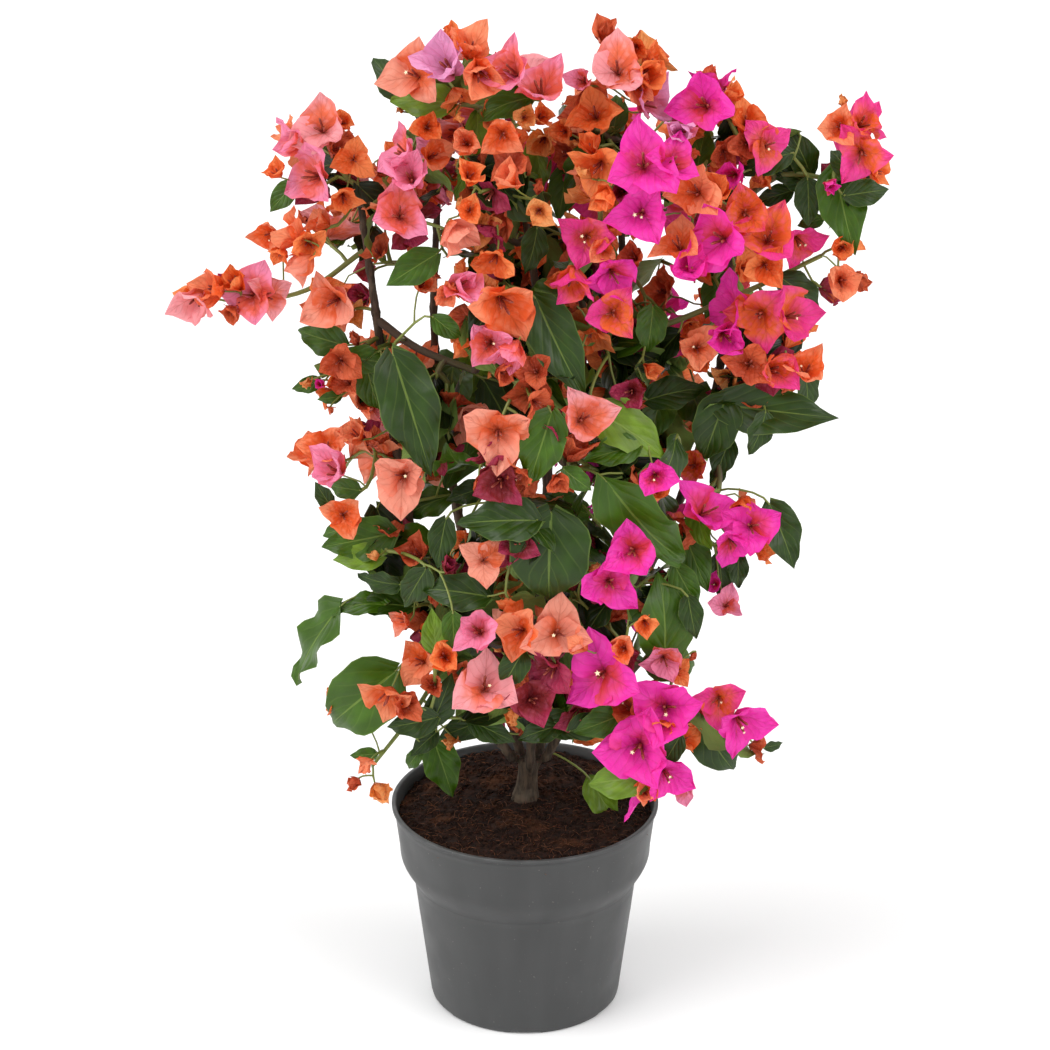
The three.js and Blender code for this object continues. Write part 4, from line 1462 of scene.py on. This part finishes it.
class BOUGAINVILLEA_OT_soil(bpy.types.Operator):
    """Fills the pot with crumbly peat, with loose crumbs and fibres scattered over it"""

    bl_idname = "bougainvillea.soil"
    bl_label = "Soil"

    def execute(self, context):
        brown = settings("pot").fibre
        peat = soil_material("peat")
        fibre = plain_material("peat_fibre", brown, shade(brown, 0.45), 3.0, 0.9)
        ground = self.ground()
        self.body(ground, peat)
        crumbs = self.scatter_tree("crumbs", 90000.0, 0.35, 1.5, self.crumb)
        fibres = self.scatter_tree("fibres", 42000.0, 0.4, 1.6, self.hair)
        for name, tree, material in (("soil_crumbs", crumbs, peat), ("soil_fibres", fibres, fibre)):
            piece = linked(name, ground.copy())
            run_tree(piece, tree, {"Material": material, "Seed": settings("crown").seed})
            finish_piece(piece, material)
        bpy.data.meshes.remove(ground)
        return {"FINISHED"}

    @staticmethod
    def ground():
        """The soil's upper surface alone."""
        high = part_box("soil")[1]
        radius = high.x - 0.1 * MM

        def height(x, y, top):
            """Hummocks and crumbs, a slight fall to the pot's wall and a rise to the back."""
            r = math.hypot(x, y) / radius
            place = Vector((x, y, 0))
            hummock = noise.fractal(place * 45, 0.9, 2.2, 3) * 1.5 * MM
            crumb = noise.fractal(place * 330, 0.7, 2.1, 4) * 0.8 * MM
            heaped = 5 * MM * max(0.0, y / radius + 0.1) ** 1.5
            return top - 0.8 * MM - 0.5 * MM * r ** 4 + heaped + hummock + crumb

        level = [(radius * i / GROUND_RINGS, high.z) for i in range(GROUND_RINGS + 1)]
        mesh = turned_mesh(level, GROUND_SIDES, height, flipped=True)
        ground = bpy.data.meshes.new("ground")
        mesh.to_mesh(ground)
        mesh.free()
        return ground

    @staticmethod
    def body(ground, material):
        """The ground's surface with the wall and floor of the filled pot under it."""
        mesh = bmesh.new()
        mesh.from_mesh(ground)
        for height, radius in PEAT_WALL:
            rim = [e for e in mesh.edges if e.is_boundary]
            down = bmesh.ops.extrude_edge_only(mesh, edges=rim)["geom"]
            for vert in [v for v in down if isinstance(v, bmesh.types.BMVert)]:
                away = math.hypot(vert.co.x, vert.co.y)
                vert.co = Vector((vert.co.x * radius / away, vert.co.y * radius / away, height))
        bmesh.ops.contextual_create(mesh, geom=[e for e in mesh.edges if e.is_boundary])
        bmesh.ops.recalc_face_normals(mesh, faces=mesh.faces)
        finish_piece(smooth_piece("potting_soil", mesh), material, ["soil"])

    @staticmethod
    def scatter_tree(name, density, smallest, largest, make):
        """A tree that scatters what make adds to it over a surface, in any size between the two."""
        g, given = geometry_tree(name, Seed=0, Density=density, Smallest=smallest, Largest=largest)
        instance, least, most = make(g)
        spots = g.node("GeometryNodeDistributePointsOnFaces",
                       {"Mesh": given["Geometry"], "Density": given["Density"], "Seed": given["Seed"]})
        turn = g.node("FunctionNodeRandomValue", {"Min": least, "Max": most}, data_type="FLOAT_VECTOR")
        size = g.node("FunctionNodeRandomValue", {2: given["Smallest"], 3: given["Largest"]},
                      data_type="FLOAT")
        placed = g.node("GeometryNodeInstanceOnPoints", {
            "Points": spots.outputs["Points"], "Instance": instance, "Rotation": turn.outputs[0],
            "Scale": size.outputs[1]})
        return close_tree(g, placed.outputs[0], given["Material"])

    @staticmethod
    def crumb(g):
        """A lump of peat, a small ball pushed about by noise, and the least and most that it turns."""
        size = settings("pot").crumb
        ball = g.node("GeometryNodeMeshIcoSphere", {"Radius": size, "Subdivisions": 2})
        push = g.node("ShaderNodeTexNoise", {"Scale": 900.0})
        offset = g.node("ShaderNodeVectorMath", {0: push.outputs["Color"], 1: (0.5, 0.5, 0.5)},
                        operation="SUBTRACT")
        scaled = g.node("ShaderNodeVectorMath", {0: offset.outputs[0], "Scale": size * 2.6},
                        operation="SCALE")
        lump = g.node("GeometryNodeSetPosition",
                      {"Geometry": ball.outputs["Mesh"], "Offset": scaled.outputs[0]})
        return lump.outputs[0], (0, 0, 0), (math.tau,) * 3

    @staticmethod
    def hair(g):
        """A bent hair of peat, and the least and most that it turns, which keeps it about flat."""
        bow = g.node("GeometryNodeCurveQuadraticBezier", {
            "Resolution": 4, "Start": (-3.2 * MM, 0, 0), "Middle": (0, 1.8 * MM, 1.6 * MM),
            "End": (3 * MM, 0.4 * MM, 0.2 * MM)})
        ring = g.node("GeometryNodeCurvePrimitiveCircle", {"Resolution": 3, "Radius": 0.11 * MM})
        hair = g.node("GeometryNodeCurveToMesh", {
            "Curve": bow.outputs[0], "Profile Curve": ring.outputs[0], "Fill Caps": True})
        return hair.outputs[0], (-0.35, -0.35, 0), (0.35, 0.35, math.tau)


class BOUGAINVILLEA_OT_wood(bpy.types.Operator):
    """Skins the trunk and the five stems with one knotty bark"""

    bl_idname = "bougainvillea.wood"
    bl_label = "Trunk and stems"

    def execute(self, context):
        low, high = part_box("trunk")
        fork = np.mean([limb_lines()[name][0][:3] for name in STEMS], axis=0)
        shapes = [self.trunk(low, high, fork)]
        fork[2] = low.z + 0.5 * (high.z - low.z)
        for name in STEMS:
            fine = smooth_line(limb_lines()[name][::2], STEM_STEP)
            # A stem is slimmer than its solid at its foot, and starts well inside the trunk.
            fine[:, 3] *= 1 - 0.32 * np.exp(-np.arange(len(fine)) / 24)
            root = fine[0].copy()
            root[:3] += (fork - root[:3]) * 0.8
            shapes.append(self.swept(np.vstack([root, fine])))
        whole = Shape.joined(shapes)
        mesh = bpy.data.meshes.new("bark")
        mesh.from_pydata(whole.points.tolist(), [], whole.faces())
        piece = linked("woody_stems", mesh)
        skin = piece.modifiers.new("skin", "REMESH")
        skin.mode = "VOXEL"
        skin.voxel_size = SKIN_GRAIN
        skin.use_smooth_shade = True
        bake_modifiers(piece)
        self.relief(piece.data)
        finish_piece(piece, bark_material("bark"), ["trunk", *STEMS])
        return {"FINISHED"}

    @staticmethod
    def trunk(low, high, fork):
        """The trunk leans from its flared foot to the fork, and swells into a knuckle there."""
        middle = (low + high) / 2
        foot = np.array([middle.x, middle.y, low.z - 1.5 * MM])
        top = np.array([fork[0], fork[1], high.z + 2 * MM])
        girth = (high.x - low.x) / 2
        path, radii = [], []
        for t in np.linspace(0, 1, 12):
            knuckle = 1.0 * MM * math.exp(-((t - 0.95) / 0.16) ** 2)
            path.append(foot * (1 - t) + top * t)
            radii.append(girth * (0.32 + 0.18 * (1 - t) ** 3) + knuckle)
        return tube_shape(path, radii, TRUNK_SIDES)

    @staticmethod
    def swept(line):
        """A tube along a line of points with radii, knotted where leaves once grew."""
        tangent = np.gradient(line[:, :3], axis=0)
        side = unit(np.cross(tangent[0], FRONT))
        points = []
        for i, row in enumerate(line):
            axis = unit(tangent[i])
            side = squared(side, axis)
            other = np.cross(axis, side)
            knot = 1 + 0.28 * max(0.0, math.sin(i * 0.55)) ** 12
            for k in range(STEM_SIDES):
                turn = math.tau * k / STEM_SIDES
                points.append(row[:3] + row[3] * knot * (math.cos(turn) * side + math.sin(turn) * other))
        return Shape.of(points, *tube_faces(len(line), STEM_SIDES))

    @staticmethod
    def relief(mesh):
        """Pushes the skin in and out along its normals, in ridges that run up the stems."""
        points = np.empty(len(mesh.vertices) * 3, np.float32)
        normals = np.empty_like(points)
        mesh.vertices.foreach_get("co", points)
        mesh.vertices.foreach_get("normal", normals)
        points = points.reshape(-1, 3)
        rise = []
        for x, y, z in points.tolist():
            ridge = 1 - abs(noise.noise((x * 330, y * 330, z * 55)))
            rise.append((ridge - 0.75) * 0.55 + noise.noise(Vector((x, y, z)) * 900) * 0.14)
        points += normals.reshape(-1, 3) * np.array(rise, np.float32)[:, None] * MM
        mesh.vertices.foreach_set("co", points.ravel())
        mesh.update()


class BOUGAINVILLEA_OT_twigs(bpy.types.Operator):
    """Grows every green shoot, twig and stalk from the limbs to what it carries"""

    bl_idname = "bougainvillea.twigs"
    bl_label = "Shoots and twigs"

    def execute(self, context):
        lines = [(line[:, :3], line[:, 3]) for name, line in limb_lines().items() if name in SHOOTS]
        lines += grown_stalks()
        edges, start = [], 0
        for line, _ in lines:
            edges += [(start + k, start + k + 1) for k in range(len(line) - 1)]
            start += len(line)
        mesh = bpy.data.meshes.new("twigs")
        mesh.from_pydata(np.concatenate([p for p, _ in lines]).tolist(), edges, [])
        thickness = mesh.attributes.new("thickness", "FLOAT", "POINT")
        thickness.data.foreach_set("value", np.concatenate([r for _, r in lines]))
        piece = linked("twigs", mesh)
        material = twig_material("stalk_and_twig")
        wanted = {"Material": material, "Sides": TWIG_SIDES, "Brown": BROWN_AT}
        run_tree(piece, self.tube_tree(), wanted)
        finish_piece(piece, material, SHOOTS)
        return {"FINISHED"}

    @staticmethod
    def tube_tree():
        """Lines with a thickness become tubes whose map's height tells how old they are."""
        g, given = geometry_tree("tubes", Sides=TWIG_SIDES, Brown=BROWN_AT)
        thick = g.node("GeometryNodeInputNamedAttribute", {"Name": "thickness"}, data_type="FLOAT")
        curve = g.node("GeometryNodeMeshToCurve", {"Mesh": given["Geometry"]})
        ring = g.node("GeometryNodeCurvePrimitiveCircle", {"Resolution": given["Sides"], "Radius": 1.0})
        around = g.node("GeometryNodeSplineParameter")
        marked = g.node("GeometryNodeStoreNamedAttribute",
                        {"Geometry": ring.outputs[0], "Name": "around", "Value": around.outputs[0]},
                        data_type="FLOAT", domain="POINT")
        tube = g.node("GeometryNodeCurveToMesh", {
            "Curve": curve.outputs[0], "Profile Curve": marked.outputs[0], "Scale": thick.outputs[0],
            "Fill Caps": True})
        turn = g.node("GeometryNodeInputNamedAttribute", {"Name": "around"}, data_type="FLOAT")
        age = g.node("ShaderNodeMath", {0: thick.outputs[0], 1: given["Brown"]}, operation="DIVIDE",
                     use_clamp=True)
        place = g.node("ShaderNodeCombineXYZ", {0: turn.outputs[0], 1: age.outputs[0]})
        mapped = g.node("GeometryNodeStoreNamedAttribute",
                        {"Geometry": tube.outputs[0], "Name": UV_NAME, "Value": place.outputs[0]},
                        data_type="FLOAT2", domain="CORNER")
        smooth = g.node("GeometryNodeSetShadeSmooth", {"Geometry": mapped.outputs[0]})
        return close_tree(g, smooth.outputs[0], given["Material"])


class BOUGAINVILLEA_OT_leaves(bpy.types.Operator):
    """Hangs the leaves, in one piece for each of their greens"""

    bl_idname = "bougainvillea.leaves"
    bl_label = "Leaves"

    def execute(self, context):
        rng = np.random.default_rng(settings("crown").seed + 1)
        kinds = [leaf_shape(rng) for _ in range(KINDS)]
        # The deep green is painted shade for leaves inside the crown; it stands for no mass.
        nodes = {"deep": [], "dark": [n for n in MASSES if n.startswith("leaves_")],
                 "mid": [n for n in MASSES if n.startswith("back_")], "young": ["sprig_low_left"]}
        shapes = {green: [] for green in nodes}
        for site in crown_sites():
            if site.is_leaf:
                kind = kinds[rng.integers(len(kinds))]
                shapes[site.tint].append(kind.moved(site.axes(), site.place))
        for green, made in shapes.items():
            material = leaf_material("leaf_" + green, getattr(settings("leaf"), green))
            joined_piece("leaves_" + green, made, material, nodes[green])
        return {"FINISHED"}


class BOUGAINVILLEA_OT_blossom(bpy.types.Operator):
    """Opens the blooms: papery bracts by tint, the small true flowers in them, and buds"""

    bl_idname = "bougainvillea.blossom"
    bl_label = "Blossom"

    # How far along a bract its base colour reaches, and the slot it belongs to.
    PIECES = {
        "magenta": (0.16, "bracts_magenta"), "sunset": (0.62, "bracts_magenta"),
        "lilac": (0.25, "bracts_magenta"), "wine": (0.5, "bracts_magenta"),
        "rose": (0.4, "bracts_salmon"), "blush": (0.42, "bracts_salmon"),
        "salmon": (0.42, "bracts_salmon"), "coral": (0.48, "bracts_orange"),
        "orange": (0.55, "bracts_orange"), "apricot": (0.5, "bracts_orange"),
        "ember": (0.5, "bracts_orange"),
    }

    def execute(self, context):
        crown = settings("crown")
        rng = np.random.default_rng(crown.seed + 2)
        tube = crown.tube / crown.bract
        kinds = {hold: [bloom_shapes(rng, hold, tube) for _ in range(KINDS)] for hold in HOLD}
        bracts = {name: [] for name in self.PIECES}
        tubes, stars = [], []
        for site in crown_sites():
            if site.is_leaf:
                continue
            made = kinds[site.kind][rng.integers(KINDS)]
            for shape, pile in zip(made, (bracts[site.tint], tubes, stars)):
                if shape is not None:
                    pile.append(shape.moved(site.axes(), site.place))
        blooms = [n for n in MASSES if n.startswith("blooms_")]
        for name, made in bracts.items():
            share, slot = self.PIECES[name]
            pair = getattr(settings("blossom"), name)
            material = bract_material("bract_" + name, pair[:3], pair[3:], share)
            joined_piece("bracts_" + name, made, material, blooms if name == "magenta" else ())
        tube_tint = plain_material("flower_tube", colour(126, 44, 40), colour(168, 86, 62), 4.0, 0.6)
        joined_piece("flower_tubes", tubes, tube_tint)
        star_tint = plain_material("flower_mouth", colour(250, 238, 205), colour(244, 205, 150), 3.0, 0.5)
        joined_piece("flower_mouths", stars, star_tint, smooth=False)
        return {"FINISHED"}


class BOUGAINVILLEA_OT_stage(bpy.types.Operator):
    """Sets up the pale floor, the soft studio light and the camera"""

    bl_idname = "bougainvillea.stage"
    bl_label = "Stage"

    # Each light's turn towards the left and its height in degrees, and its strength.
    SUNS = {"left": (66, 36, 1.9), "right": (-62, 32, 1.5), "top": (5, 62, 0.5), "back": (175, 40, 0.5)}
    SOFTNESS = math.radians(50)
    ROOM_LIGHT = 0.56
    FLOOR_HALF = 40.0

    def execute(self, context):
        stage = settings("stage")
        scene = context.scene
        mesh = bpy.data.meshes.new("floor")
        side = self.FLOOR_HALF
        corners = [(-side, -side, 0), (side, -side, 0), (side, side, 0), (-side, side, 0)]
        mesh.from_pydata(corners, [], [(0, 1, 2, 3)])
        floor = linked("floor", mesh)
        material, g = new_material("pale_floor")
        g.surface(g.principled(stage.floor, 0.9))
        mesh.materials.append(material)
        world = bpy.data.worlds.new("studio")
        world.use_nodes = True
        world.node_tree.nodes["Background"].inputs[0].default_value = (1, 1, 1, 1)
        world.node_tree.nodes["Background"].inputs[1].default_value = self.ROOM_LIGHT
        scene.world = world
        for name, (turn, height, strength) in self.SUNS.items():
            light = bpy.data.lights.new(name, "SUN")
            light.angle = self.SOFTNESS
            light.energy = strength
            lamp = bpy.data.objects.new(name, light)
            lamp.rotation_euler = (math.radians(90 - height), 0, -math.radians(turn))
            scene.collection.objects.link(lamp)
        camera = bpy.data.objects.new("camera", bpy.data.cameras.new("camera"))
        camera.location = (0, -stage.distance, stage.height)
        camera.rotation_euler = (math.pi / 2 - stage.pitch, 0, 0)
        camera.data.lens = stage.lens
        camera.data.sensor_width = 36
        camera.data.clip_end = 100
        scene.collection.objects.link(camera)
        scene.camera = camera
        scene.view_settings.view_transform = "Standard"
        return {"FINISHED"}


class BOUGAINVILLEA_PT_panel(bpy.types.Panel):
    """Lists the settings and the steps in the sidebar"""

    bl_label = "Bougainvillea"
    bl_idname = "BOUGAINVILLEA_PT_panel"
    bl_space_type = "VIEW_3D"
    bl_region_type = "UI"
    bl_category = "Bougainvillea"

    def draw(self, context):
        for name, group in GROUPS.items():
            box = self.layout.box()
            box.label(text=name.capitalize())
            for key in group.__annotations__:
                box.prop(settings(name), key)
        for operator in OPERATORS:
            self.layout.operator(operator.bl_idname)


GROUPS = {"crown": CrownSettings, "blossom": BlossomSettings, "leaf": LeafSettings, "pot": PotSettings,
          "stage": StageSettings}
OPERATORS = (BOUGAINVILLEA_OT_stage, BOUGAINVILLEA_OT_pot, BOUGAINVILLEA_OT_soil, BOUGAINVILLEA_OT_wood,
             BOUGAINVILLEA_OT_twigs, BOUGAINVILLEA_OT_leaves, BOUGAINVILLEA_OT_blossom)
CLASSES = (*GROUPS.values(), *OPERATORS, BOUGAINVILLEA_PT_panel)


def register():
    for cls in CLASSES:
        bpy.utils.register_class(cls)
    for name, group in GROUPS.items():
        setattr(bpy.types.Scene, "bougainvillea_" + name, PointerProperty(type=group))


def unregister():
    for name in GROUPS:
        delattr(bpy.types.Scene, "bougainvillea_" + name)
    for cls in reversed(CLASSES):
        bpy.utils.unregister_class(cls)


def main():
    register()
    bpy.ops.bougainvillea.stage()
    bpy.ops.bougainvillea.pot()
    bpy.ops.bougainvillea.soil()
    bpy.ops.bougainvillea.wood()
    bpy.ops.bougainvillea.twigs()
    bpy.ops.bougainvillea.leaves()
    bpy.ops.bougainvillea.blossom()


if __name__ == "__main__":
    main()
